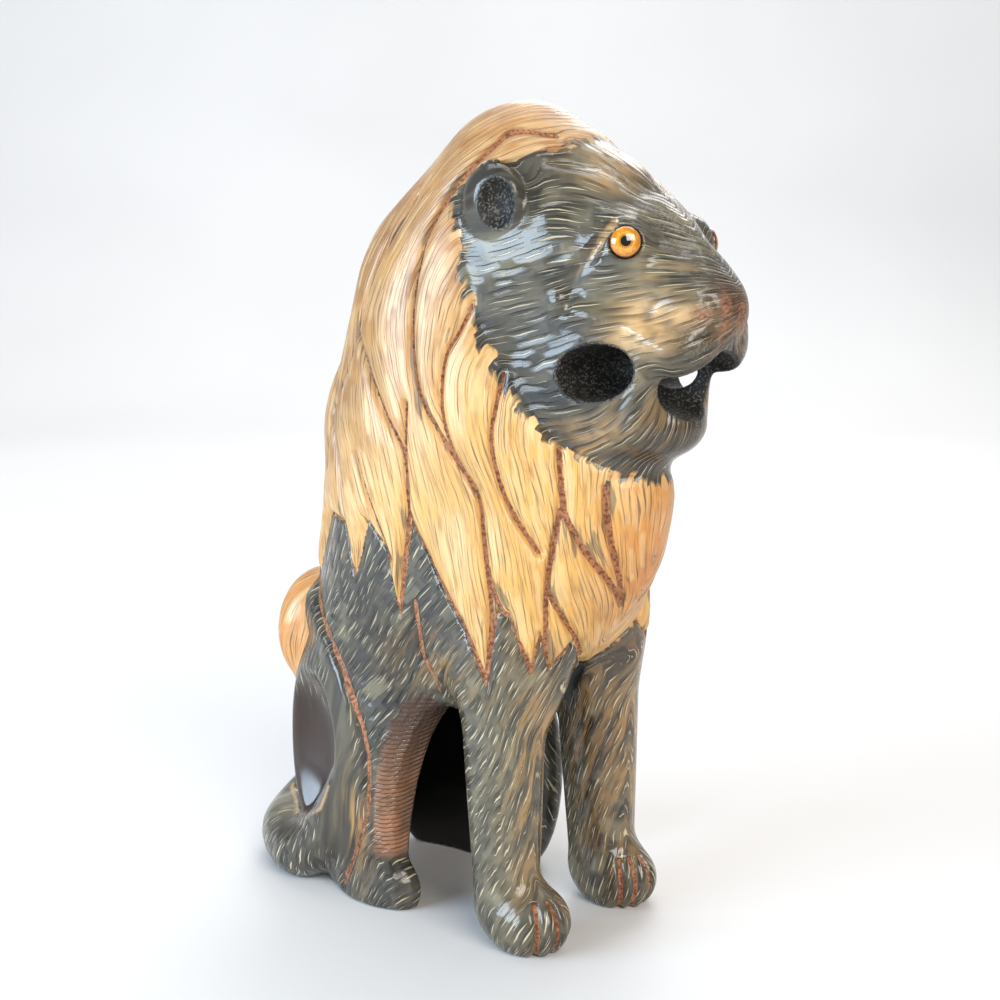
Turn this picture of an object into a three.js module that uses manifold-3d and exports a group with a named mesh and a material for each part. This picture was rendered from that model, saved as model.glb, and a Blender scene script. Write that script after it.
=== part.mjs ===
// A seated lion figurine carved from one piece of horn, with two inset glass eyes.
// Millimetres, +Z up. The lion looks along -Y and its left side is +X.
// The body is one closed solid: rounded masses are blended into a form, furrows are carved into it,
// the surface is traced over a grid of tetrahedra, and flat areas are thinned to few faces.
import * as THREE from "three";
import { mergeVertices } from "three/addons/utils/BufferGeometryUtils.js";
import Module from "manifold-3d";

// Driving sizes
const GRID = 1.15; // spacing of the grid that the form is traced on
const BODY_FACES = 8900; // triangles kept on the body
const BLOCK = 5; // grid points along a block that is passed over where it is all inside or all outside
const CUT_BELOW = 9; // how far the traced form runs below the soles before they are cut flat
const BOUNDS = { low: [-34, -47, -CUT_BELOW], high: [34, 101, 188] };
const MIRROR_SOFTNESS = 1; // rounds the fold of mirrored masses at the middle plane
const EYE = { radius: 3.1, dome: 1.5, back: 1.6, gap: 0.3, centre: [15.9, -22.4, 155.3], out: [0.79, -0.6, 0.12] };

// Masses: [centre, radii, tilt about X in degrees, blend]
const TORSO = [
  [[0, 13, 151], [22, 26, 33.5], -8, 8], // crown of the mane
  [[0, 29, 138], [24, 29, 32], -14, 8], // nape
  [[0, 29, 110], [27, 40, 38], -6, 8], // shoulders
  [[0, 5.5, 95], [20, 25, 26], -4, 8], // breast
  [[0, 34, 78], [26, 39, 36], 0, 9], // ribs
  [[0, 52, 40], [26, 28.5, 42], 0, 9], // rump
];
const MIRRORED = [
  [[15, 49.5, 30], [10.5, 24.5, 36], 0, 6], // haunch
  [[14, 9, 74], [12, 16, 26], -8, 7], // shoulder above the foreleg
];
const HEAD = [
  [[0, -1, 153.7], [20, 22, 21.5], -15, 6], // skull
  [[0, -15, 149], [16, 17, 14.5], 0, 6], // face
  [[0, -28.6, 143], [10.5, 11.6, 9.5], 20, 6], // nose
  [[0, -20, 117.5], [12, 10, 7.5], 0, 5], // chin
  [[0, -8.5, 106], [11, 13, 16], 0, 5], // throat
  [[0, -7.5, 159.4], [8, 15, 8.5], 38, 4], // ridge of the forehead
];
const HEAD_MIRRORED = [
  [[7, -8, 130], [11, 18, 20], 0, 6], // cheek
  [[6, -29, 135], [7.5, 8, 8], 0, 4], // whisker pad
  [[12.3, -18.3, 155], [5.2, 7, 6], 0, 3], // eyelids
  [[20, 8, 164], [4, 7.5, 7.5], 0, 2], // ear
];
const TUFT = [[-6, 74.2, 60], [13, 10.2, 15.5], 0, 3];
const HIND_FOOT = [[17.2, 45.5, 4], [6.8, 12.5, 10], 0, 2];
const LEFT_HIND = [[22, 33, 25], [6.4, 12, 27], 0, 3]; // the left hind leg reaches further forward
// Limbs: [start, end, start radius, end radius, blend]
const FANG = [[10, -23.6, 136.5], [9.8, -22, 118], 3.8, 3.3, 2.2];
const FORELEGS = [
  { top: [-15.5, 9, 66], wrist: [-16, 7.5, 10], radii: [10, 7.4], toes: [-15.5, 2], cuts: [-37, -8, 19] },
  { top: [17, 7, 66], wrist: [17.5, 5, 10], radii: [10.5, 7.8], toes: [17.5, 1], cuts: [-46, -24, 1] },
];
const PAW = { radii: [8.8, 10.5, 8.5], height: 6, toeCut: 1.1 };
// The tail's middle line with its radius, from the rump round the right haunch to the tuft
const TAIL = [
  [3, 83, 14, 8], [-6, 84.5, 7.6, 8.2], [-14, 79, 7.2, 8], [-19, 70, 6.9, 7.7], [-20.3, 60, 13, 7],
  [-21.3, 52, 26, 5.6], [-22, 47.5, 40, 4.8], [-21.5, 49, 52, 4.8], [-18.5, 56, 62, 5.2], [-11, 67, 67, 7],
];
const TAIL_STEPS = 3; // straight pieces between two points of the tail
// Hollows: [centre, radii, tilt, blend]
const TROUGH = [[-29, 65, 35], [12.5, 14.5, 22], 0, 2]; // beside the rump, between the tail's base and its rise
const ARCH = [[0, 26, 4], [60, 11.3, 47.5], 0, 4]; // between foreleg and hind leg; the hind feet reach into it
const HOLLOWS = [
  [[0, 45, 0], [16, 28, 68], 0, 3], // inside of the horn under the belly
  [[1, 4, 0], [7.5, 40, 62], 0, 3], // gap between the forelegs
  [[0, -29, 127], [9.6, 11.5, 7.6], 0, 1], // front of the mouth
  [[-14, -14.8, 129], [13, 8.2, 5.7], -10, 1], // corner of the mouth, behind the fang
  [[14, -19.3, 129.5], [13, 5.3, 6], 0, 1], // the other corner, cut smaller
];
const HOLLOWS_MIRRORED = [
  [[24.2, 4.8, 163], [5, 4, 5.4], 0, 1], // ear
];

// The mane is carved on a chart of degrees round MANE_AXIS from the front, and height.
const MANE_AXIS = 26; // its place along Y
const CHART_RADIUS = 33; // turns degrees on the chart into millimetres
const MANE_LIFT = 0.7; // the mane stands this proud of the coat
const FURROW = { depth: 1.4, width: 1.3, swell: 0.7, swellReach: 4 };
const LOCKS = {
  browToBreast: [[18, 177], [52, 173], [71, 166], [86, 157], [91, 141], [88, 128], [72, 115], [54, 102], [50, 88], [36, 66]],
  shoulderTip: [[51, 89], [49, 77], [51, 63]],
  cheek: [[55, 144], [63, 137], [72, 128], [72, 119], [66, 112], [54, 102]],
  jaw: [[43, 129], [49, 118], [46, 106], [33, 91]],
  flank: [[92, 121], [91, 98], [95, 87], [99, 73]],
  nape: [[133, 136], [118, 127], [104, 118], [91, 98], [82, 89], [68, 80], [51, 63]],
  withers: [[124, 109], [117, 100], [109, 92], [103, 86]],
  throat: [[26, 113], [26, 104], [18, 89], [5, 79]],
  breastSide: [[27, 100], [31, 81], [31, 67]],
  beard: [[15, 105], [12, 89], [6, 80]],
  breast: [[30, 82], [22, 74], [10, 66]],
  crest: [[160, 176], [150, 160], [155, 145], [170, 130], [180, 118]],
  back: [[180, 150], [165, 135], [150, 122], [140, 108], [128, 82]],
  backTip: [[180, 118], [172, 104], [164, 92], [158, 76]],
  napeSide: [[110, 165], [122, 152], [133, 136], [143, 120], [152, 104]],
};
const MANE_EDGE = [
  [0, 62], [12, 66], [20, 71], [30, 66], [33, 74], [36, 65], [43, 78], [47, 78], [51, 62], [60, 74], [68, 79],
  [80, 88], [90, 95], [99, 73], [106, 88], [118, 94], [127, 80], [135, 92], [148, 93], [158, 75], [168, 92], [180, 80],
];
const THROAT = 106; // below this height the mane runs right round
// The hairline: how far forward along Y the mane reaches at each height
const HAIRLINE = [
  [108, -16], [115, -4], [122, 3], [129, 6], [137, 11], [148, 13], [156, 16], [166, 19],
  [170, 14], [172, 6], [175, -4], [178, -4], [182, 2], [186, 6],
];
// Single lines, cut into the surface or (with a negative depth) raised on it,
// as points in space on the +X side, mirrored unless a side is named
const CREASES = [
  // along the forehead
  { line: [[12, -2, 173], [8.5, -10.8, 171.8], [6.5, -14.4, 170.4], [4.5, -19, 166.5]], depth: 1.7, width: 2.2 },
  // behind the eye
  { line: [[15, -19.5, 159], [17.5, -15, 152.5], [18, -11.6, 148.7], [18, -9, 142]], depth: 1.6, width: 1.3 },
  // fold of the eyelid
  { line: [[19, -5, 161], [17, -9.5, 162.5], [14.5, -15, 162], [15, -20.5, 159.5]], depth: -0.7, width: 1.6 },
  // edge of the lip
  { line: [[18, -8, 142.5], [16.6, -14.5, 140.2], [14.6, -22, 138.6], [13, -30, 133.5]], depth: -1, width: 2.2 },
  // over the lip
  { line: [[18, -11, 146.5], [16, -18, 144.8], [14, -26, 142.8], [11.5, -32, 141]], depth: 0.8, width: 3 },
  // between the eye and the nose
  { line: [[9.5, -25.5, 158.5], [6.5, -29.5, 155.5]], depth: 1, width: 3.2 },
  // nostril, wing of the nose, and the split under the nose
  { line: [[7.7, -36.8, 143.4], [7.3, -37.6, 141.1], [6.5, -38.1, 139.1]], depth: 1, width: 1.1 },
  { line: [[12.7, -31.1, 138.1], [10.6, -34.3, 139.7], [8, -37, 140.5]], depth: 0.7, width: 1.1 },
  { line: [[0, -42, 141], [0, -40, 136], [0, -36, 131.5]], depth: 0.8, width: 1 },
  {
    // behind the elbow
    line: [[25.5, 26, 77], [24.9, 25.4, 70.3], [23.4, 25.5, 64], [21.4, 24.4, 59], [19, 24.5, 54.5]],
    depth: 0.9,
    width: 1,
  },
  // ridge of the hind foot
  { line: [[24.3, 41.9, 16.4], [22.7, 38.9, 11.7], [21.5, 36.4, 7], [21.3, 36.2, 1.3]], depth: -0.8, width: 1.1 },
  {
    side: -1, // in front of the tail
    line: [
      [16, 66.4, 72.6], [21, 60.4, 68], [24, 54.2, 63.4], [25.2, 49, 57.6], [25.6, 45.4, 50.8], [25.8, 42.7, 45.2],
      [25.8, 40.8, 38.7], [25.7, 40.7, 31.8], [25.4, 41.6, 24.6], [24.8, 44.7, 16.6], [23.6, 49.4, 8.5], [22.8, 53, 2],
    ],
    depth: 1.2,
    width: 1,
  },
  {
    side: -1, // inner edge of the tail's ring
    line: [
      [8.2, 85.3, 15.8], [14.8, 77.2, 15], [20.5, 69.5, 14.6],
      [25.7, 61.6, 18], [26.9, 55.3, 22.4], [26.7, 52.4, 28.7],
    ],
    depth: -0.5,
    width: 1.2,
  },
];

const radians = THREE.MathUtils.degToRad;
const clamp = THREE.MathUtils.clamp;

// Smaller of two distances, rounded over k where they meet
function blendMin(a, b, k) {
  const h = clamp(0.5 + (0.5 * (b - a)) / k, 0, 1);
  return b + (a - b) * h - k * h * (1 - h);
}

// Distance to an ellipsoid, close enough near its surface
function ball(x, y, z, [centre, radii, tilt]) {
  const dx = x - centre[0];
  let dy = y - centre[1];
  let dz = z - centre[2];
  if (tilt) {
    const s = Math.sin(radians(tilt));
    const c = Math.cos(radians(tilt));
    [dy, dz] = [c * dy + s * dz, -s * dy + c * dz];
  }
  const near = Math.hypot(dx / radii[0], dy / radii[1], dz / radii[2]);
  const steep = Math.hypot(dx / radii[0] ** 2, dy / radii[1] ** 2, dz / radii[2] ** 2) + 1e-9;
  return (near * (near - 1)) / steep;
}

// Distance from a point to a straight piece, and how far along it the nearest point lies
function toPiece(p, a, b) {
  let along = 0;
  let length = 0;
  for (let i = 0; i < p.length; i++) {
    along += (p[i] - a[i]) * (b[i] - a[i]);
    length += (b[i] - a[i]) ** 2;
  }
  const t = clamp(along / length, 0, 1);
  let square = 0;
  for (let i = 0; i < p.length; i++) square += (p[i] - a[i] - t * (b[i] - a[i])) ** 2;
  return [Math.sqrt(square), t];
}

function limb(p, a, b, radiusA, radiusB) {
  const [distance, t] = toPiece(p, a, b);
  return distance - (radiusA + (radiusB - radiusA) * t);
}

function toLine(p, points) {
  let least = Infinity;
  for (let i = 1; i < points.length; i++) least = Math.min(least, toPiece(p, points[i - 1], points[i])[0]);
  return least;
}

// A table of [x, value] read at x, with straight lines between its rows
function readTable(table, x) {
  if (x <= table[0][0]) return table[0][1];
  for (let i = 1; i < table.length; i++) {
    const [x0, v0] = table[i - 1];
    const [x1, v1] = table[i];
    if (x <= x1) return v0 + ((v1 - v0) * (x - x0)) / (x1 - x0);
  }
  return table[table.length - 1][1];
}

// Points of a smooth line through the given ones, each with its radius
function smoothLine(points, steps) {
  const made = [];
  const at = (i) => points[clamp(i, 0, points.length - 1)];
  for (let i = 0; i < points.length - 1; i++)
    for (let s = 0; s < steps; s++) {
      const t = s / steps;
      const [p0, p1, p2, p3] = [at(i - 1), at(i), at(i + 1), at(i + 2)];
      made.push(
        p1.map((v, j) => {
          const bend = 2 * p0[j] - 5 * p1[j] + 4 * p2[j] - p3[j];
          const twist = -p0[j] + 3 * p1[j] - 3 * p2[j] + p3[j];
          return v + 0.5 * t * (p2[j] - p0[j] + t * (bend + t * twist));
        }),
      );
    }
  made.push(at(points.length - 1));
  return made;
}

const tailLine = smoothLine(TAIL, TAIL_STEPS);

// The smooth form, before the mane and the furrows
function form(x, y, z) {
  const side = Math.sqrt(x * x + MIRROR_SOFTNESS);
  let d = Infinity;
  for (const m of TORSO) d = d === Infinity ? ball(x, y, z, m) : blendMin(d, ball(x, y, z, m), m[3]);
  for (const m of MIRRORED) d = blendMin(d, ball(side, y, z, m), m[3]);
  for (const leg of FORELEGS) {
    d = blendMin(d, limb([x, y, z], leg.top, leg.wrist, ...leg.radii), 5);
    d = blendMin(d, ball(x, y, z, [[...leg.toes, PAW.height], PAW.radii, 0]), 4);
  }
  if (z > 95) {
    for (const m of HEAD) d = blendMin(d, ball(x, y, z, m), m[3]);
    for (const m of HEAD_MIRRORED) d = blendMin(d, ball(side, y, z, m), m[3]);
    d = blendMin(d, limb([side, y, z], ...FANG.slice(0, 4)), FANG[4]);
  }
  if (z < 95) {
    d = -blendMin(-d, ball(x, y, z, TROUGH), TROUGH[3]);
    d = blendMin(d, ball(x, y, z, TUFT), TUFT[3]);
    let tail = Infinity;
    for (let i = 1; i < tailLine.length; i++) {
      const [a, b] = [tailLine[i - 1], tailLine[i]];
      tail = Math.min(tail, limb([x, y, z], a, b, a[3], b[3]));
    }
    d = blendMin(d, tail, 1.5);
    d = -blendMin(-d, ball(x, y, z, ARCH), ARCH[3]);
    d = blendMin(d, ball(side, y, z, HIND_FOOT), HIND_FOOT[3]);
    d = blendMin(d, ball(x, y, z, LEFT_HIND), LEFT_HIND[3]);
  }
  for (const h of HOLLOWS) d = -blendMin(-d, ball(x, y, z, h), h[3]);
  for (const h of HOLLOWS_MIRRORED) d = -blendMin(-d, ball(side, y, z, h), h[3]);
  return d;
}

const locks = Object.values(LOCKS).map((line) => line.map(([turn, z]) => [radians(turn) * CHART_RADIUS, z]));
const edge = MANE_EDGE.map(([turn, z]) => [radians(turn) * CHART_RADIUS, z]);

// How far the mane stands out at a place, its furrows taken away
function maneRelief(x, y, z) {
  const turn = Math.atan2(Math.abs(x), -(y - MANE_AXIS)) * CHART_RADIUS;
  const below = readTable(edge, turn) - z;
  const behind = Math.max(y - readTable(HAIRLINE, z), THROAT - z);
  const inside = Math.min(-below, behind);
  if (inside < -3) return 0;
  const place = [turn, z];
  let nearest = toLine(place, edge);
  for (const line of locks) nearest = Math.min(nearest, toLine(place, line));
  const lift = MANE_LIFT * THREE.MathUtils.smoothstep(inside, -1.5, 1.5);
  const cut = FURROW.depth * Math.exp(-((nearest / FURROW.width) ** 2)) * THREE.MathUtils.smoothstep(inside, -1, 0.2);
  const swell =
    FURROW.swell * (1 - Math.exp(-nearest / FURROW.swellReach)) * THREE.MathUtils.smoothstep(inside, 0, 5);
  return lift + swell - cut;
}

function creaseDepth(x, y, z) {
  let depth = 0;
  for (const c of CREASES) {
    if (c.side && c.side * x < 0) continue;
    const d = toLine([Math.abs(x), y, z], c.line);
    if (d < 3 * c.width) depth += c.depth * Math.exp(-((d / c.width) ** 2));
  }
  return depth;
}

// Cuts between the toes run up the front of each forepaw.
function toeDepth(x, y, z) {
  if (z > 12.5) return 0;
  let depth = 0;
  for (const leg of FORELEGS) {
    const dx = x - leg.toes[0];
    const dy = y - leg.toes[1];
    const reach = Math.hypot(dx, dy);
    if (reach > 14 || dy > 0 || reach < 3) continue;
    for (const angle of leg.cuts) {
      const off = Math.atan2(dx, -dy) - radians(angle);
      depth = Math.max(depth, PAW.toeCut * Math.exp(-(((reach * off) / 1.0) ** 2)));
    }
  }
  return depth;
}

function carved(x, y, z) {
  const d = form(x, y, z);
  if (Math.abs(d) > 4) return d;
  return d - maneRelief(x, y, z) + creaseDepth(x, y, z) + toeDepth(x, y, z);
}

// Traces the zero surface of a distance over a grid whose cells are split into six tetrahedra each.
// Every crossing of a tetrahedron's edge is one shared point, so the surface is closed.
function trace(distance, { low, high }, step) {
  const count = low.map((v, i) => Math.ceil((high[i] - v) / step) + 1);
  const [nx, ny, nz] = count;
  const at = (i, j, k) => i + nx * (j + ny * k);
  const place = (n) => [
    low[0] + step * (n % nx),
    low[1] + step * (Math.floor(n / nx) % ny),
    low[2] + step * Math.floor(n / (nx * ny)),
  ];
  const values = new Float64Array(nx * ny * nz);
  // Blocks of points that lie well away from the surface take the value at their middle.
  for (let k = 0; k < nz; k += BLOCK)
    for (let j = 0; j < ny; j += BLOCK)
      for (let i = 0; i < nx; i += BLOCK) {
        const middle = [i, j, k].map((v, axis) => low[axis] + step * (v + (BLOCK - 1) / 2));
        const far = distance(...middle);
        const skip = Math.abs(far) > 2.2 * BLOCK * step;
        for (let c = k; c < Math.min(k + BLOCK, nz); c++)
          for (let b = j; b < Math.min(j + BLOCK, ny); b++)
            for (let a = i; a < Math.min(i + BLOCK, nx); a++) {
              const n = at(a, b, c);
              values[n] = skip ? far : distance(...place(n)) || 1e-9;
            }
      }
  const corners = [0, 1, 2, 3, 4, 5, 6, 7].map((c) => at(c & 1, (c >> 1) & 1, (c >> 2) & 1));
  const paths = [[1, 3], [1, 5], [2, 3], [2, 6], [4, 5], [4, 6]]; // from corner 0 to corner 7
  const points = [];
  const faces = [];
  const known = new Map();
  const crossing = (a, b) => {
    const key = a < b ? a * values.length + b : b * values.length + a;
    if (!known.has(key)) {
      const t = clamp(values[a] / (values[a] - values[b]), 0.02, 0.98);
      const [pa, pb] = [place(a), place(b)];
      known.set(key, points.length);
      points.push(pa.map((v, i) => v + t * (pb[i] - v)));
    }
    return known.get(key);
  };
  // A face is three crossed edges, each [inner, outer]; the middles of its edges show which way it faces.
  const addFace = (...edges) => {
    const [p, q, r] = edges.map(([a, b]) => new THREE.Vector3(...place(a)).add(new THREE.Vector3(...place(b))));
    const [inner, outer] = [0, 1].map((end) => new THREE.Vector3(...place(edges[0][end])));
    const normal = q.sub(p).cross(r.sub(p));
    const face = edges.map(([a, b]) => crossing(a, b));
    faces.push(normal.dot(outer.sub(inner)) > 0 ? face : face.reverse());
  };
  for (let k = 0; k < nz - 1; k++)
    for (let j = 0; j < ny - 1; j++)
      for (let i = 0; i < nx - 1; i++) {
        const cell = corners.map((c) => c + at(i, j, k));
        const within = cell.filter((n) => values[n] < 0).length;
        if (!within || within === 8) continue;
        for (const [c1, c2] of paths) {
          const tetra = [cell[0], cell[c1], cell[c2], cell[7]];
          const inner = tetra.filter((n) => values[n] < 0);
          const outer = tetra.filter((n) => values[n] >= 0);
          if (inner.length === 1) addFace(...outer.map((n) => [inner[0], n]));
          if (inner.length === 3) addFace(...inner.map((n) => [n, outer[0]]));
          if (inner.length === 2) {
            const ring = [[0, 0], [0, 1], [1, 1], [1, 0]].map(([a, b]) => [inner[a], outer[b]]);
            addFace(ring[0], ring[1], ring[2]);
            addFace(ring[0], ring[2], ring[3]);
          }
        }
      }
  return { points, faces };
}

// A heap of [cost, ...] entries, least cost first
class Heap {
  constructor() {
    this.items = [];
  }
  push(item) {
    const a = this.items;
    let i = a.push(item) - 1;
    while (i > 0) {
      const up = (i - 1) >> 1;
      if (a[up][0] <= a[i][0]) break;
      [a[up], a[i]] = [a[i], a[up]];
      i = up;
    }
  }
  pop() {
    const a = this.items;
    const top = a[0];
    const last = a.pop();
    if (a.length) {
      a[0] = last;
      let i = 0;
      for (;;) {
        let least = i;
        for (const child of [2 * i + 1, 2 * i + 2]) if (child < a.length && a[child][0] < a[least][0]) least = child;
        if (least === i) break;
        [a[least], a[i]] = [a[i], a[least]];
        i = least;
      }
    }
    return top;
  }
}

// Thins a closed surface by joining the two ends of the edge that moves the surface least, again and again.
// The error of a point is the sum of squared distances to the planes of the faces that it stands for.
function thin({ points, faces }, target) {
  const planes = points.map(() => new Float64Array(10));
  const around = points.map(() => new Set());
  const stamp = new Uint32Array(points.length);
  const cross = (p, q, r) => {
    const [ux, uy, uz] = [q[0] - p[0], q[1] - p[1], q[2] - p[2]];
    const [vx, vy, vz] = [r[0] - p[0], r[1] - p[1], r[2] - p[2]];
    return [uy * vz - uz * vy, uz * vx - ux * vz, ux * vy - uy * vx];
  };
  faces.forEach((face, f) => {
    const [p, q, r] = face.map((v) => points[v]);
    const n = cross(p, q, r);
    const size = Math.hypot(...n) || 1e-12;
    const [a, b, c] = n.map((v) => v / size);
    const d = -(a * p[0] + b * p[1] + c * p[2]);
    const terms = [a * a, a * b, a * c, a * d, b * b, b * c, b * d, c * c, c * d, d * d];
    for (const v of face) {
      around[v].add(f);
      terms.forEach((term, i) => (planes[v][i] += term * size));
    }
  });
  const error = (m, [x, y, z]) =>
    m[0] * x * x + 2 * m[1] * x * y + 2 * m[2] * x * z + 2 * m[3] * x +
    m[4] * y * y + 2 * m[5] * y * z + 2 * m[6] * y + m[7] * z * z + 2 * m[8] * z + m[9];
  const best = (a, b) => {
    const m = planes[a].map((v, i) => v + planes[b][i]);
    const middle = points[a].map((v, i) => (v + points[b][i]) / 2);
    const choices = [middle, points[a], points[b]];
    const det =
      m[0] * (m[4] * m[7] - m[5] * m[5]) - m[1] * (m[1] * m[7] - m[5] * m[2]) + m[2] * (m[1] * m[5] - m[4] * m[2]);
    if (Math.abs(det) > 1e-3) {
      const [rx, ry, rz] = [-m[3], -m[6], -m[8]];
      const x = (rx * (m[4] * m[7] - m[5] * m[5]) - m[1] * (ry * m[7] - m[5] * rz) + m[2] * (ry * m[5] - m[4] * rz)) / det;
      const y = (m[0] * (ry * m[7] - rz * m[5]) - rx * (m[1] * m[7] - m[5] * m[2]) + m[2] * (m[1] * rz - ry * m[2])) / det;
      const z = (m[0] * (m[4] * rz - m[5] * ry) - m[1] * (m[1] * rz - ry * m[2]) + rx * (m[1] * m[5] - m[4] * m[2])) / det;
      const far = Math.hypot(x - middle[0], y - middle[1], z - middle[2]);
      if (far < 2 * Math.hypot(...points[a].map((v, i) => v - points[b][i]))) choices.unshift([x, y, z]);
    }
    const costs = choices.map((p) => error(m, p));
    const least = costs.indexOf(Math.min(...costs));
    return [Math.max(costs[least], 0), choices[least]];
  };
  const heap = new Heap();
  const offer = (a, b) => {
    const [cost, place] = best(a, b);
    heap.push([cost, a, b, stamp[a], stamp[b], place]);
  };
  for (const [a, b, c] of faces) {
    if (a < b) offer(a, b);
    if (b < c) offer(b, c);
    if (c < a) offer(c, a);
  }
  const near = (v) => new Set([...around[v]].flatMap((f) => faces[f]).filter((w) => w !== v));
  const turns = (v, other, place) =>
    [...around[v]].some((f) => {
      if (faces[f].includes(other)) return false;
      const before = cross(...faces[f].map((w) => points[w]));
      const after = cross(...faces[f].map((w) => (w === v ? place : points[w])));
      const dot = before[0] * after[0] + before[1] * after[1] + before[2] * after[2];
      return dot < 0.25 * Math.hypot(...before) * Math.hypot(...after) || Math.hypot(...after) < 1e-3;
    });
  let left = faces.length;
  while (left > target && heap.items.length) {
    const [, a, b, stampA, stampB, place] = heap.pop();
    if (stamp[a] !== stampA || stamp[b] !== stampB) continue;
    const nearB = near(b);
    const shared = [...near(a)].filter((v) => nearB.has(v));
    if (shared.length !== 2 || turns(a, b, place) || turns(b, a, place)) continue;
    points[a] = place;
    planes[b].forEach((v, i) => (planes[a][i] += v));
    for (const f of [...around[b]]) {
      if (faces[f].includes(a)) {
        for (const v of faces[f]) around[v].delete(f);
        faces[f] = null;
        left--;
      } else {
        faces[f] = faces[f].map((v) => (v === b ? a : v));
        around[a].add(f);
      }
    }
    stamp[b] = 0xffffffff;
    stamp[a]++;
    for (const v of near(a)) offer(Math.min(a, v), Math.max(a, v));
  }
  const kept = faces.filter(Boolean);
  const index = new Map();
  for (const v of kept.flat()) if (!index.has(v)) index.set(v, index.size);
  return { points: [...index.keys()].map((v) => points[v]), faces: kept.map((f) => f.map((v) => index.get(v))) };
}

const wasm = await Module();
wasm.setup();

function solidFromMesh({ points, faces }) {
  const mesh = new wasm.Mesh({
    numProp: 3,
    vertProperties: new Float32Array(points.flat()),
    triVerts: new Uint32Array(faces.flat()),
  });
  return new wasm.Manifold(mesh);
}

function solidFromGeometry(geometry) {
  const plain = geometry.clone();
  plain.deleteAttribute("normal");
  plain.deleteAttribute("uv");
  const merged = mergeVertices(plain, 1e-4);
  const mesh = new wasm.Mesh({
    numProp: 3,
    vertProperties: new Float32Array(merged.attributes.position.array),
    triVerts: new Uint32Array(merged.index.array),
  });
  return new wasm.Manifold(mesh);
}

function geometryFromSolid(solid) {
  const { vertProperties, triVerts } = solid.getMesh();
  const geometry = new THREE.BufferGeometry();
  geometry.setAttribute("position", new THREE.BufferAttribute(new Float32Array(vertProperties), 3));
  geometry.setIndex(new THREE.BufferAttribute(new Uint32Array(triVerts), 1));
  geometry.computeVertexNormals();
  return geometry;
}

// A button with a domed front and a flat back, its axis along +Y before it is turned
function eyeGeometry(grow) {
  const { radius, dome, back } = EYE;
  const outline = [new THREE.Vector2(0, -back - grow), new THREE.Vector2(radius + grow, -back - grow)];
  const steps = 4;
  for (let i = 0; i <= steps; i++) {
    const turn = (i / steps) * (Math.PI / 2);
    outline.push(new THREE.Vector2((radius + grow) * Math.cos(turn), (dome + grow) * Math.sin(turn)));
  }
  outline[outline.length - 1].x = 0;
  return new THREE.LatheGeometry(outline, 18);
}

function eyePlacement(side) {
  const centre = new THREE.Vector3(side * EYE.centre[0], EYE.centre[1], EYE.centre[2]);
  const out = new THREE.Vector3(side * EYE.out[0], EYE.out[1], EYE.out[2]).normalize();
  const turn = new THREE.Quaternion().setFromUnitVectors(new THREE.Vector3(0, 1, 0), out);
  return { centre, turn };
}

function bodyGeometry() {
  const traced = trace(carved, BOUNDS, GRID);
  let solid = solidFromMesh(thin(traced, BODY_FACES));
  const under = new THREE.BoxGeometry(200, 300, 20).translate(0, 0, -10);
  solid = solid.subtract(solidFromGeometry(under));
  for (const side of [-1, 1]) {
    const { centre, turn } = eyePlacement(side);
    const socket = eyeGeometry(EYE.gap).applyQuaternion(turn).translate(centre.x, centre.y, centre.z);
    solid = solid.subtract(solidFromGeometry(socket));
  }
  return geometryFromSolid(solid);
}

const horn = new THREE.MeshStandardMaterial({ color: 0x7a6a50, roughness: 0.35, metalness: 0 });
const amberGlass = new THREE.MeshStandardMaterial({ color: 0xd98a16, roughness: 0.08, metalness: 0 });

const lion = new THREE.Group();
const body = new THREE.Mesh(bodyGeometry(), horn);
body.name = "lion_body";
lion.add(body);
for (const [name, side] of [["right_eye", -1], ["left_eye", 1]]) {
  const { centre, turn } = eyePlacement(side);
  const eye = new THREE.Mesh(eyeGeometry(0), amberGlass);
  eye.name = name;
  eye.position.copy(centre);
  eye.quaternion.copy(turn);
  lion.add(eye);
}

// The origin is under the middle of the figurine.
const box = new THREE.Box3().setFromObject(body);
lion.position.set(-(box.min.x + box.max.x) / 2, -(box.min.y + box.max.y) / 2, -box.min.z);

export default lion;
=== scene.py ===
# A seated lion figurine carved from dark horn with a cream mane, and glass eyes. It stands on a pale floor.
# Model sizes are in millimetres in the carving's own frame: the lion looks along -Y, +Z is up.
import math

import bpy
import numpy as np
from mathutils import Matrix, Vector


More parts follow.
